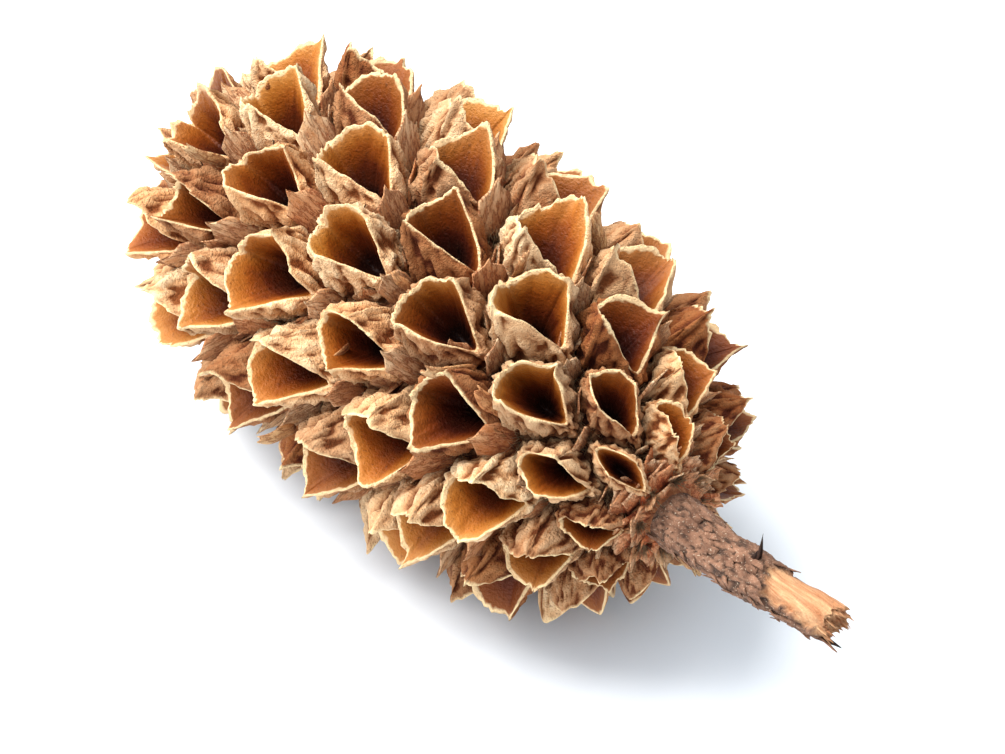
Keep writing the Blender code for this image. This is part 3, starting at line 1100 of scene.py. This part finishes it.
def scale_material(name, stops, roughness):
    """A dry scale: pale at the tip, streaked and mottled, each one a little different."""
    material, tree, shader = new_material(name, roughness)
    profile, tint, across = (tree.attribute(key) for key in ("profile", "tint", "across"))
    mottling = mottled(tree, 0.35 * MM)
    along = tree.add("ShaderNodeCombineXYZ", None, i0=across, i1=profile).outputs[0]
    fibres = tree.effect(FIBRES, Vector=along, Across=9.0, Along=3.5, Tint=tint)
    wander = tree.times(tree.minus(mottling["Blotches"], 0.5), 0.3)
    base = tree.ramp(tree.plus(profile, wander), stops)
    toned = tree.mix(tint, base, tree.mix(0.8, base, srgb(226, 182, 150), "MULTIPLY"))
    toned = tree.stain(toned, (216, 178, 146), 1.0, fibres["Streaks"])
    toned = tree.stain(toned, (172, 122, 88), 0.8, fibres["Creases"])
    specked = tree.mix(tree.times(mottling["Specks"], 0.6), toned, srgb(72, 46, 30))
    relief = tree.plus(mottling["Relief"], tree.times(fibres["Relief"], 1.5))
    tree.link(specked, shader["Base Color"])
    tree.link(tree.bump(relief, 0.12 * MM), shader["Normal"])
    return material


# %% Place the core, the bracts, the collar and the loose scales
BRACT_SCALE = scale_material("bract_scale", BRACT_COLOURS, 0.85)
COLLAR_SCALE = scale_material("collar_scale", COLLAR_COLOURS, 0.8)
finish_piece(model_core(), BRACT_SCALE, "cone")
draw = random.Random(SEED + 1)
scatter(BRACT, bract_places(draw), "bracts", draw, BRACT_SCALE, "cone")
scatter(BRACT, collar_places(draw), "collar_bracts", draw, COLLAR_SCALE, "cone")
scatter(BRACT, back_scale_places(draw), "back_scales", draw, BRACT_SCALE, "cone")
bpy.data.objects.remove(BRACT)

# %% [markdown]
# ## Fuzz
# Short greyish hairs fill the gaps among the valves' feet. Each is a three-sided cone, no thicker than a
# real hair, and they stand thickest where four plots meet.

# %% Hairs in the gaps
HAIR_TRIES = 12000
HAIR_RADIUS = 0.020 * MM
HAIR_LENGTHS = (0.35, 0.95)
HAIR_SINK = 0.05 * MM
HAIR_CLEARANCE = 0.68
HAIR_COLOURS = ((0.0, (150, 134, 102)), (0.5, (206, 190, 154)), (1.0, (236, 224, 190)))


def model_hair():
    deselect_all()
    where = (0.0, 0.0, 0.5)
    bpy.ops.mesh.primitive_cone_add(vertices=3, radius1=1.0, radius2=0.0, depth=1.0, location=where)
    hair = start("hair_pattern")
    note_profile(hair)
    return hair


def hair_places(draw):
    places = []
    for _ in range(HAIR_TRIES):
        whorl = draw.randrange(-1, WHORLS + 1)
        row = 2 * draw.randrange(ROWS // 2) + (whorl + 1) % 2
        size = 0.6 + 0.4 * whorl_size(whorl)
        turn, reach = draw.uniform(0.0, math.tau), 0.6 * draw.random()
        arc = arc_at(whorl + reach * math.cos(turn))
        angle = (row + reach * math.sin(turn)) * ROW_ANGLE
        if in_a_hollow(arc, angle, HAIR_CLEARANCE):
            continue
        spot, outward, apexward, aside = directions_at(arc, angle)
        up = outward + apexward * draw.gauss(0.0, 0.45) + aside * draw.gauss(0.0, 0.45)
        length = draw.uniform(*HAIR_LENGTHS) * MM * size
        foot = spot - outward * HAIR_SINK
        places.append(standing(foot, up, apexward, (HAIR_RADIUS, HAIR_RADIUS, length)))
    return places


HAIR = model_hair()
HAIR_FUZZ = scale_material("grey_fuzz", HAIR_COLOURS, 0.9)
scatter(HAIR, hair_places(draw), "gap_fuzz", draw, HAIR_FUZZ, "cone")
bpy.data.objects.remove(HAIR)

# %% [markdown]
# ## The tuft at the apex
# At the apex the last valves never opened. They stand as a tuft of narrow ribbed spikes. One spike is a thin
# cone that is pinched into ribs, bent a little, and copied round the pole.

# %% Spikes at the apex
SPIKE_LENGTH = 1.7 * MM
TUFT_RINGS = ((0.25 * MM, 3, 0.75), (0.85 * MM, 7, 1.0), (1.55 * MM, 11, 1.0))
SPIKE_COLOURS = (
    (0.00, (96, 62, 42)),
    (0.35, (160, 106, 72)),
    (0.80, (204, 156, 112)),
    (1.00, (236, 204, 156)),
)


def model_spike():
    deselect_all()
    where = (0.0, 0.0, 0.5)
    bpy.ops.mesh.primitive_cone_add(vertices=12, radius1=0.5, radius2=0.06, depth=1.0, location=where)
    spike = start("spike_pattern")
    edit(spike)
    bpy.ops.mesh.subdivide(number_cuts=4)
    bpy.ops.object.mode_set(mode="OBJECT")
    spots = spots_of(spike)
    turn = np.arctan2(spots[:, 1], spots[:, 0])
    pinch = 1.0 + 0.16 * np.cos(5.0 * turn) + 0.08 * np.sin(9.0 * turn + 1.0)
    belly = 1.0 + 0.25 * np.sin(math.pi * spots[:, 2])
    spots[:, 0] = spots[:, 0] * pinch * belly + 0.12 * spots[:, 2] ** 2
    spots[:, 1] *= 0.55 * pinch * belly
    set_spots(spike, spots)
    note_profile(spike)
    return spike


def tuft_places(draw):
    """Each ring has its distance from the pole, how many spikes, and how long they are."""
    places = []
    for ring, (from_pole, count, share) in enumerate(TUFT_RINGS):
        for number in range(count):
            angle = math.tau * (number + draw.uniform(-0.25, 0.25)) / count + ring
            spot, outward, apexward, aside = directions_at(OUTLINE_LENGTH - from_pole, angle)
            up = outward + apexward * draw.uniform(-0.35, 0.25) + aside * draw.uniform(-0.25, 0.25)
            length = SPIKE_LENGTH * draw.uniform(0.6, 1.0) * share
            width = draw.uniform(0.45, 0.75) * MM
            facing = apexward + aside * draw.uniform(-1, 1)
            places.append(standing(spot - outward * SCALE_SINK, up, facing, (width, width, length)))
    return places


SPIKE = model_spike()
SPIKE_WOOD = scale_material("spike_wood", SPIKE_COLOURS, 0.8)
draw = random.Random(SEED + 2)
scatter(SPIKE, tuft_places(draw), "apex_tuft", draw, SPIKE_WOOD, "cone")
bpy.data.objects.remove(SPIKE)

# %% [markdown]
# ## Torn linings
# Here and there a strip of the papery lining has torn loose from a valve and stands up, pale as straw. A
# strip starts as a flat grid, gets its uneven outline and curl, and its thickness from Solidify.

# %% Papery strips
TORN_AT = (
    (4, 10, -0.9, 0.35, 1.25),
    (2, 10, 0.25, 0.55, 1.0),
    (6, 11, -0.85, 0.2, 0.9),
    (5, 13, 0.9, 0.1, 0.9),
)
TORN_AT_RANDOM = 16
STRIP_COLOURS = ((0.0, (180, 132, 84)), (0.4, (222, 182, 128)), (1.0, (246, 220, 174)))


def model_strip():
    deselect_all()
    bpy.ops.mesh.primitive_grid_add(x_subdivisions=4, y_subdivisions=8, size=1.0, location=(0.0, 0.0, 0.0))
    strip = start("strip_pattern")
    spots = spots_of(strip)
    up = spots[:, 1] + 0.5
    across = spots[:, 0] * (0.55 + 0.45 * np.sin(math.pi * held(up) ** 0.8)) * (1.0 - 0.35 * up)
    across += 0.10 * np.sin(7.0 * up)
    curl = 0.35 * up**2 + 0.9 * spots[:, 0] ** 2
    ragged = 0.08 * np.sin(17.0 * spots[:, 0]) * up
    set_spots(strip, np.stack([0.6 * across, curl, up + ragged], axis=1))
    thickness = strip.modifiers.new("thickness", "SOLIDIFY")
    thickness.thickness = 0.07
    thickness.offset = 0.0
    subdivided(strip, 1)
    note_profile(strip)
    return strip


def strip_places(draw):
    """The chosen strips, each by whorl, row, shift along, shift aside and length, and more all round."""
    chosen = list(TORN_AT)
    for _ in range(TORN_AT_RANDOM):
        whorl = draw.randrange(1, WHORLS - 1)
        row = draw.choice(rows_of(whorl))
        along, side = draw.choice((-0.85, 0.8)), draw.uniform(-0.4, 0.4)
        chosen.append((whorl, row, along, side, draw.uniform(0.5, 1.0)))
    places = []
    for whorl, row, along, side, length in chosen:
        spot, outward, apexward, aside = directions_at(arc_at(whorl + along), (row + side) * ROW_ANGLE)
        up = outward + apexward * draw.uniform(-0.5, 0.5) + aside * draw.uniform(-0.6, 0.6)
        size = length * MM
        foot = spot + outward * draw.uniform(0.9, 1.5) * MM
        facing = apexward + aside * draw.uniform(-1.0, 1.0)
        places.append(standing(foot, up, facing, (1.3 * size, 0.8 * size, 1.7 * size)))
    return places


STRIP = model_strip()
LINING = scale_material("papery_lining", STRIP_COLOURS, 0.85)
draw = random.Random(SEED + 3)
scatter(STRIP, strip_places(draw), "torn_linings", draw, LINING, "cone")
bpy.data.objects.remove(STRIP)

# %% [markdown]
# ## The stalk
# The stalk is a twig with rough brown bark. The bark has come off the upper side of its last third,
# where the bare wood shows light orange, and its far end is torn. It is drawn out as a tube, and every point
# is then moved to the bark's surface: furrows, flaky plates, and a lower level where the bark is gone.

# %% The stalk's line and thickness, as in its solid
STALK_LENGTH = 7.4 * MM
STALK_ROOT_RADIUS = 0.93 * MM
STALK_TIP_RADIUS = 0.70 * MM
STALK_BEND_UP = 0.45 * MM
STALK_BEND_ASIDE = 0.55 * MM
STALK_SWELLING = 0.05
STALK_FURROW = 0.04
STALK_WHOLE = STALK_LENGTH + SOCKET_DEPTH - SOCKET_GAP
BARK_THICKNESS = 0.13 * MM
BARE_FROM = 0.58
BARE_HALF_ANGLE = math.radians(78.0)
TORN_FROM = 0.955


def free_share(distance):
    """How far along the stretch outside the cone a place is, from 0 to 1."""
    return held((distance - SOCKET_DEPTH) / (STALK_WHOLE - SOCKET_DEPTH))


def stalk_radius(free, turn):
    radius = STALK_ROOT_RADIUS + (STALK_TIP_RADIUS - STALK_ROOT_RADIUS) * free
    outside = held(free / 0.05)
    radius = radius * (1.0 + outside * STALK_SWELLING * np.sin(2.5 * math.tau * free + 0.6))
    return radius * (1.0 + outside * STALK_FURROW * np.cos(4.0 * turn + 4.0 * free))


def on_stalk(distance, turn, radius):
    """Points at a distance from the stalk's root. The turn goes round it from straight down."""
    free = free_share(distance)
    x = CENTRE[0] + CORE_HALF_LENGTH - SOCKET_DEPTH + SOCKET_GAP + distance
    y = CENTRE[1] + STALK_BEND_ASIDE * free**2 + radius * np.sin(turn)
    z = AXIS_HEIGHT + STALK_BEND_UP * free**2 - radius * np.cos(turn)
    return np.stack(np.broadcast_arrays(x, y, z), axis=-1)


# %% Bark relief, and where the bark is gone
PLATE_STRETCH = 4.5
CRACK_WIDTH = 0.22


def plates_at(spots, size):
    """0 in the cracks between bark plates, and 1 on them. The plates are long along the stalk."""
    gaps = []
    for spot in spots / np.array([PLATE_STRETCH, 1.0, 1.0]) / size:
        distances, _ = noise.voronoi(Vector(spot))
        gaps.append(distances[1] - distances[0])
    return held(np.array(gaps) / CRACK_WIDTH)


def bareness(distance, turn, spots):
    """1 where the bark is gone: on top of the last third, with a ragged edge, and at the torn end."""
    free = free_share(distance)
    from_top = np.abs(np.arctan2(np.sin(turn - math.pi), np.cos(turn - math.pi)))
    edge = 0.07 * noise_at(spots, 0.5 * MM, 3.0) + 0.04 * noise_at(spots, 0.2 * MM, 9.0)
    lengthwise = held((free - BARE_FROM - 0.5 * edge - 0.05 * from_top) / 0.015)
    around = held((BARE_HALF_ANGLE * (0.75 + 0.5 * free) + 5.0 * edge - from_top) / 0.12)
    return np.maximum(lengthwise * around, held((free - TORN_FROM - 0.3 * edge) / 0.01))


# %% Model the stalk
STALK_SIDES = 16
STALK_SECTIONS = 36
CAP_FLATNESS = 0.02 * MM
PLATE_SIZE = 0.30 * MM
PLATE_WOBBLE = 0.12 * MM
FADE_AT_CONE = 0.4 * MM
TORN_STRETCH = 0.9 * MM


def model_stalk():
    deselect_all()
    turned = (0.0, math.pi / 2, 0.0)
    bpy.ops.mesh.primitive_circle_add(vertices=STALK_SIDES, radius=STALK_ROOT_RADIUS, rotation=turned)
    stalk = start("stalk_bark")
    edit(stalk)
    bpy.ops.mesh.edge_face_add()
    bpy.ops.mesh.select_mode(type="EDGE")
    step = (STALK_WHOLE / STALK_SECTIONS, 0.0, 0.0)
    for _ in range(STALK_SECTIONS):
        bpy.ops.mesh.extrude_edges_move(TRANSFORM_OT_translate={"value": step})
    bpy.ops.mesh.edge_face_add()
    bpy.ops.mesh.inset(thickness=0.35 * MM)
    close_up()
    subdivided(stalk, 2)
    return stalk


def roughen_stalk(stalk):
    """Moves every point out to the bark, or in to the bare wood, and tears the far end."""
    flat = spots_of(stalk)
    distance, turn = flat[:, 0].copy(), np.arctan2(flat[:, 1], -flat[:, 2])
    on_caps = (distance > STALK_WHOLE - CAP_FLATNESS) | (distance < CAP_FLATNESS)
    reach = np.where(on_caps, held(np.hypot(flat[:, 1], flat[:, 2]) / STALK_ROOT_RADIUS), 1.0)
    radius = stalk_radius(free_share(distance), turn)
    smooth = on_stalk(distance, turn, radius)
    bare = bareness(distance, turn, smooth)
    wavy = smooth + PLATE_WOBBLE * noise_at(smooth, 0.35 * MM, 7.0)[:, None]
    plates = plates_at(wavy, PLATE_SIZE)
    bark = 0.09 * MM * (plates - 0.6) + 0.07 * MM * noise_at(smooth, 0.55 * MM, 0.0)
    bark = bark + 0.03 * MM * noise_at(smooth, 0.16 * MM, 5.0)
    stretched = smooth / np.array([9.0, 1.0, 1.0])
    wood = 0.035 * MM * noise_at(stretched, 0.11 * MM, 2.0) - BARK_THICKNESS
    outside = held((distance - SOCKET_DEPTH + FADE_AT_CONE) / FADE_AT_CONE)
    radius = reach * (radius + outside * (bark * (1.0 - bare) + wood * bare))
    across_end = np.stack([0.0 * turn, reach * np.sin(turn), reach * np.cos(turn)], axis=1)
    torn = noise_at(across_end, 0.30, 1.0)
    near_end = held((distance - STALK_WHOLE + TORN_STRETCH) / TORN_STRETCH)
    distance += near_end**2 * (0.32 * torn - 0.28 * (1.0 - reach) - 0.12) * MM
    set_spots(stalk, on_stalk(distance, turn, radius))
    set_values(stalk.data, "bare", bare)
    set_values(stalk.data, "plates", plates)


# %% The stalk's bark and bare wood
def bark_material(name):
    """Brown bark with dark cracks and pale specks. Where it is bare, orange wood with fine streaks."""
    material, tree, shader = new_material(name, 0.85)
    bare, plates = tree.attribute("bare"), tree.attribute("plates")
    spots = tree.add("ShaderNodeTexCoord").outputs["Object"]
    mottling = mottled(tree, 0.5 * MM)
    quarter, finer = (0.0, 0.0, math.pi / 2), (900.0, 900.0, 900.0)
    turned = tree.add("ShaderNodeMapping", None, Vector=spots, Rotation=quarter, Scale=finer).outputs[0]
    fibres = tree.effect(FIBRES, Vector=turned, Across=9.0, Along=0.5, Tint=0.3)
    bark = tree.mix(mottling["Blotches"], srgb(88, 58, 42), srgb(150, 110, 86))
    cracked = tree.mix(tree.span(plates, 0.05, 0.75), srgb(58, 40, 30), bark)
    specked = tree.mix(tree.times(mottling["Specks"], 0.7), cracked, srgb(206, 184, 158))
    wood = tree.mix(fibres["Streaks"], srgb(138, 84, 52), srgb(214, 172, 128))
    stained = tree.mix(tree.times(mottling["Blotches"], 0.4), wood, srgb(176, 104, 58))
    tree.link(tree.mix(bare, specked, stained), shader["Base Color"])
    tree.link(tree.bump(tree.plus(mottling["Relief"], fibres["Relief"]), 0.08 * MM), shader["Normal"])
    return material


BARK = bark_material("twig_bark")
STALK = model_stalk()
roughen_stalk(STALK)
finish_piece(STALK, BARK, "stalk")

# %% The directions at a spot of the stalk, and a chip to place there
CHIP_SINK = 0.02 * MM
BARE_ENOUGH = 0.4


def stalk_directions(distance, turn):
    """A spot on the stalk's skin, with the outward and lengthwise directions there."""
    radius = float(stalk_radius(free_share(distance), turn))
    spot = Vector(on_stalk(distance, turn, radius))
    outward = (Vector(on_stalk(distance, turn, radius + MM)) - spot).normalized()
    lengthwise = (Vector(on_stalk(distance + 0.1 * MM, turn, radius)) - spot).normalized()
    return spot, outward, lengthwise


def is_bare(distance, turn):
    spot = on_stalk(distance, turn, stalk_radius(free_share(distance), turn))
    return bareness(np.array([distance]), np.array([turn]), spot[None, :])[0] > BARE_ENOUGH


def model_chip(name, point):
    """A thin chip drawn to a ragged point. Flakes and splinters are copies of it."""
    deselect_all()
    bpy.ops.mesh.primitive_cube_add(size=1.0, location=(0.0, 0.0, 0.5))
    chip = start(name)
    edit(chip)
    bpy.ops.mesh.subdivide(number_cuts=2)
    bpy.ops.object.mode_set(mode="OBJECT")
    spots = spots_of(chip)
    taper = 1.0 - (1.0 - point) * spots[:, 2] ** 2
    spots[:, 0] = spots[:, 0] * taper + 0.08 * np.sin(9.0 * spots[:, 2])
    spots[:, 1] = spots[:, 1] * 0.22 * taper - 0.5 * spots[:, 2] ** 2 * 0.3 + 0.5 * spots[:, 0] ** 2
    spots[:, 2] += 0.12 * np.sin(8.0 * spots[:, 0]) * spots[:, 2]
    set_spots(chip, spots)
    note_profile(chip)
    return chip


def say_bark(piece, bare):
    """The bark's material reads how bare a piece is, and that no crack runs through it."""
    set_values(piece.data, "bare", bare)
    set_values(piece.data, "plates", 0.8)


# %% Flakes of bark
FLAKES = 130


def flake_places(draw):
    """Flakes lie along the bark, lifted at one end."""
    places = []
    while len(places) < FLAKES:
        distance = draw.uniform(SOCKET_DEPTH - 0.2 * MM, STALK_WHOLE - 0.4 * MM)
        turn = draw.uniform(0.0, math.tau)
        if is_bare(distance, turn):
            continue
        spot, outward, lengthwise = stalk_directions(distance, turn)
        aside = outward.cross(lengthwise).normalized()
        up = lengthwise * draw.choice((-1, 1)) + outward * draw.uniform(0.0, 0.2)
        up = up + aside * draw.uniform(-0.3, 0.3)
        length, width = draw.uniform(0.3, 0.8) * MM, draw.uniform(0.16, 0.34) * MM
        places.append(standing(spot - outward * CHIP_SINK, up, -outward, (width, 0.25 * MM, length)))
    return places


draw = random.Random(SEED + 4)
FLAKE = model_chip("flake_pattern", 0.45)
say_bark(scatter(FLAKE, flake_places(draw), "bark_flakes", draw, BARK, "stalk"), 0.0)
bpy.data.objects.remove(FLAKE)

# %% Splinters out of the torn end
SPLINTERS = 34
SPLINTERS_FROM_END = 0.45 * MM


def splinter_places(draw):
    """Splinters stand out of the torn end, most of them near its rim."""
    places = []
    for _ in range(SPLINTERS):
        turn, share = draw.uniform(0.0, math.tau), draw.uniform(0.25, 1.0) ** 0.5
        radius = share * (STALK_TIP_RADIUS - BARK_THICKNESS)
        spot = Vector(on_stalk(STALK_WHOLE - SPLINTERS_FROM_END, turn, radius))
        up = Vector((1.0, draw.uniform(-0.12, 0.12), draw.uniform(-0.12, 0.12)))
        length, width = draw.uniform(0.35, 0.75) * MM, draw.uniform(0.10, 0.22) * MM
        places.append(standing(spot, up, Vector((0.0, draw.uniform(-1, 1), 1.0)), (width, width, length)))
    return places


SPLINTER = model_chip("splinter_pattern", 0.1)
say_bark(scatter(SPLINTER, splinter_places(draw), "torn_splinters", draw, BARK, "stalk"), 1.0)

# %% The sliver at the lower end, and the spur of a twiglet on top
SLIVER_FROM_END = 0.75 * MM
SLIVER_TURN = math.radians(-25.0)
SLIVER_SIZE = Vector((0.30, 0.55, 1.15)) * MM
SPUR_AT = STALK_WHOLE * 13.0 / 21.0
SPUR_SIZE = Vector((0.15, 0.5, 1.30)) * MM
KNOT_SIZE = Vector((0.28, 0.9, 0.40)) * MM
SLIVER_SINK = 0.16 * MM
SPUR_SINK = 0.12 * MM
DARK_COLOURS = ((0.0, (86, 60, 44)), (0.5, (62, 42, 32)), (1.0, (44, 30, 24)))


def sliver_and_spur():
    spot, outward, lengthwise = stalk_directions(STALK_WHOLE - SLIVER_FROM_END, SLIVER_TURN)
    up = lengthwise + outward * 0.18
    sliver = standing(spot - outward * SLIVER_SINK, up, outward, SLIVER_SIZE)
    spot, outward, lengthwise = stalk_directions(SPUR_AT, math.pi)
    foot = spot - outward * SPUR_SINK
    spur = standing(foot, outward + lengthwise * 0.25, lengthwise, SPUR_SIZE)
    knot = standing(foot, outward - lengthwise * 0.3, -lengthwise, KNOT_SIZE)
    return [sliver, spur, knot]


DARK_TWIG = scale_material("dark_twig", DARK_COLOURS, 0.85)
scatter(SPLINTER, sliver_and_spur(), "sliver_and_spur", draw, DARK_TWIG, "stalk")
bpy.data.objects.remove(SPLINTER)

# %% [markdown]
# ## The camera, the floor and the light
# The photograph looks down on the cone at about 40 degrees, from the stalk's side. A long lens keeps the
# cone's two ends nearly the same size. The floor is plain and pale. Two large soft lights stand over it, and
# a pale bluish sky fills the shadows.

# %% Camera
VIEW_AZIMUTH = math.radians(51.4)
VIEW_ELEVATION = math.radians(40.0)
LENS = 200.0
FRAME_WIDTH = 34.0 * MM
NEAREST = 0.01


def add_camera():
    low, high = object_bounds()
    middle = Vector([(a + b) / 2 for a, b in zip(low, high)])
    level = math.cos(VIEW_ELEVATION)
    back = Vector((math.sin(VIEW_AZIMUTH) * level, -math.cos(VIEW_AZIMUTH) * level, math.sin(VIEW_ELEVATION)))
    data = bpy.data.cameras.new("camera")
    data.lens = LENS
    data.clip_start = NEAREST
    camera = bpy.data.objects.new("camera", data)
    bpy.context.scene.collection.objects.link(camera)
    camera.location = middle + back * (FRAME_WIDTH * LENS / data.sensor_width)
    camera.rotation_euler = back.to_track_quat("Z", "Y").to_euler()
    bpy.context.scene.camera = camera


add_camera()

# %% Floor
FLOOR_SIZE = 1.2


def add_floor():
    deselect_all()
    bpy.ops.mesh.primitive_plane_add(size=FLOOR_SIZE, location=(0.0, 0.0, 0.0))
    floor = start("floor")
    material, _, shader = new_material("white_table", 0.6, 0.5)
    shader["Base Color"].default_value = srgb(228, 233, 238)
    floor.data.materials.append(material)


add_floor()


# %% Lights
def add_light(name, direction, distance, size, power, colour):
    """A square soft light that faces the cone from a direction."""
    data = bpy.data.lights.new(name, "AREA")
    data.size = size
    data.energy = power
    data.color = colour
    light = bpy.data.objects.new(name, data)
    bpy.context.scene.collection.objects.link(light)
    towards = Vector(direction).normalized()
    light.location = towards * distance
    light.rotation_euler = towards.to_track_quat("Z", "Y").to_euler()


add_light("key", (-0.50, -0.30, 1.0), distance=0.35, size=0.30, power=2.95, colour=(1.0, 0.98, 0.95))
add_light("fill", (0.2, -1.0, 0.8), distance=0.45, size=0.45, power=0.9, colour=(0.95, 0.97, 1.0))

SKY_COLOUR = (0.88, 0.94, 1.0, 1.0)
SKY_STRENGTH = 0.98
world = bpy.data.worlds.new("studio")
world.use_nodes = True
sky = world.node_tree.nodes["Background"].inputs
sky["Color"].default_value = SKY_COLOUR
sky["Strength"].default_value = SKY_STRENGTH
bpy.context.scene.world = world
bpy.context.scene.view_settings.view_transform = "Standard"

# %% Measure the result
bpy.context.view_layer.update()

meshes = [piece.data for piece in bpy.data.objects if piece.type == "MESH"]
print("triangles in all:", sum(len(face.vertices) - 2 for mesh in meshes for face in mesh.polygons))
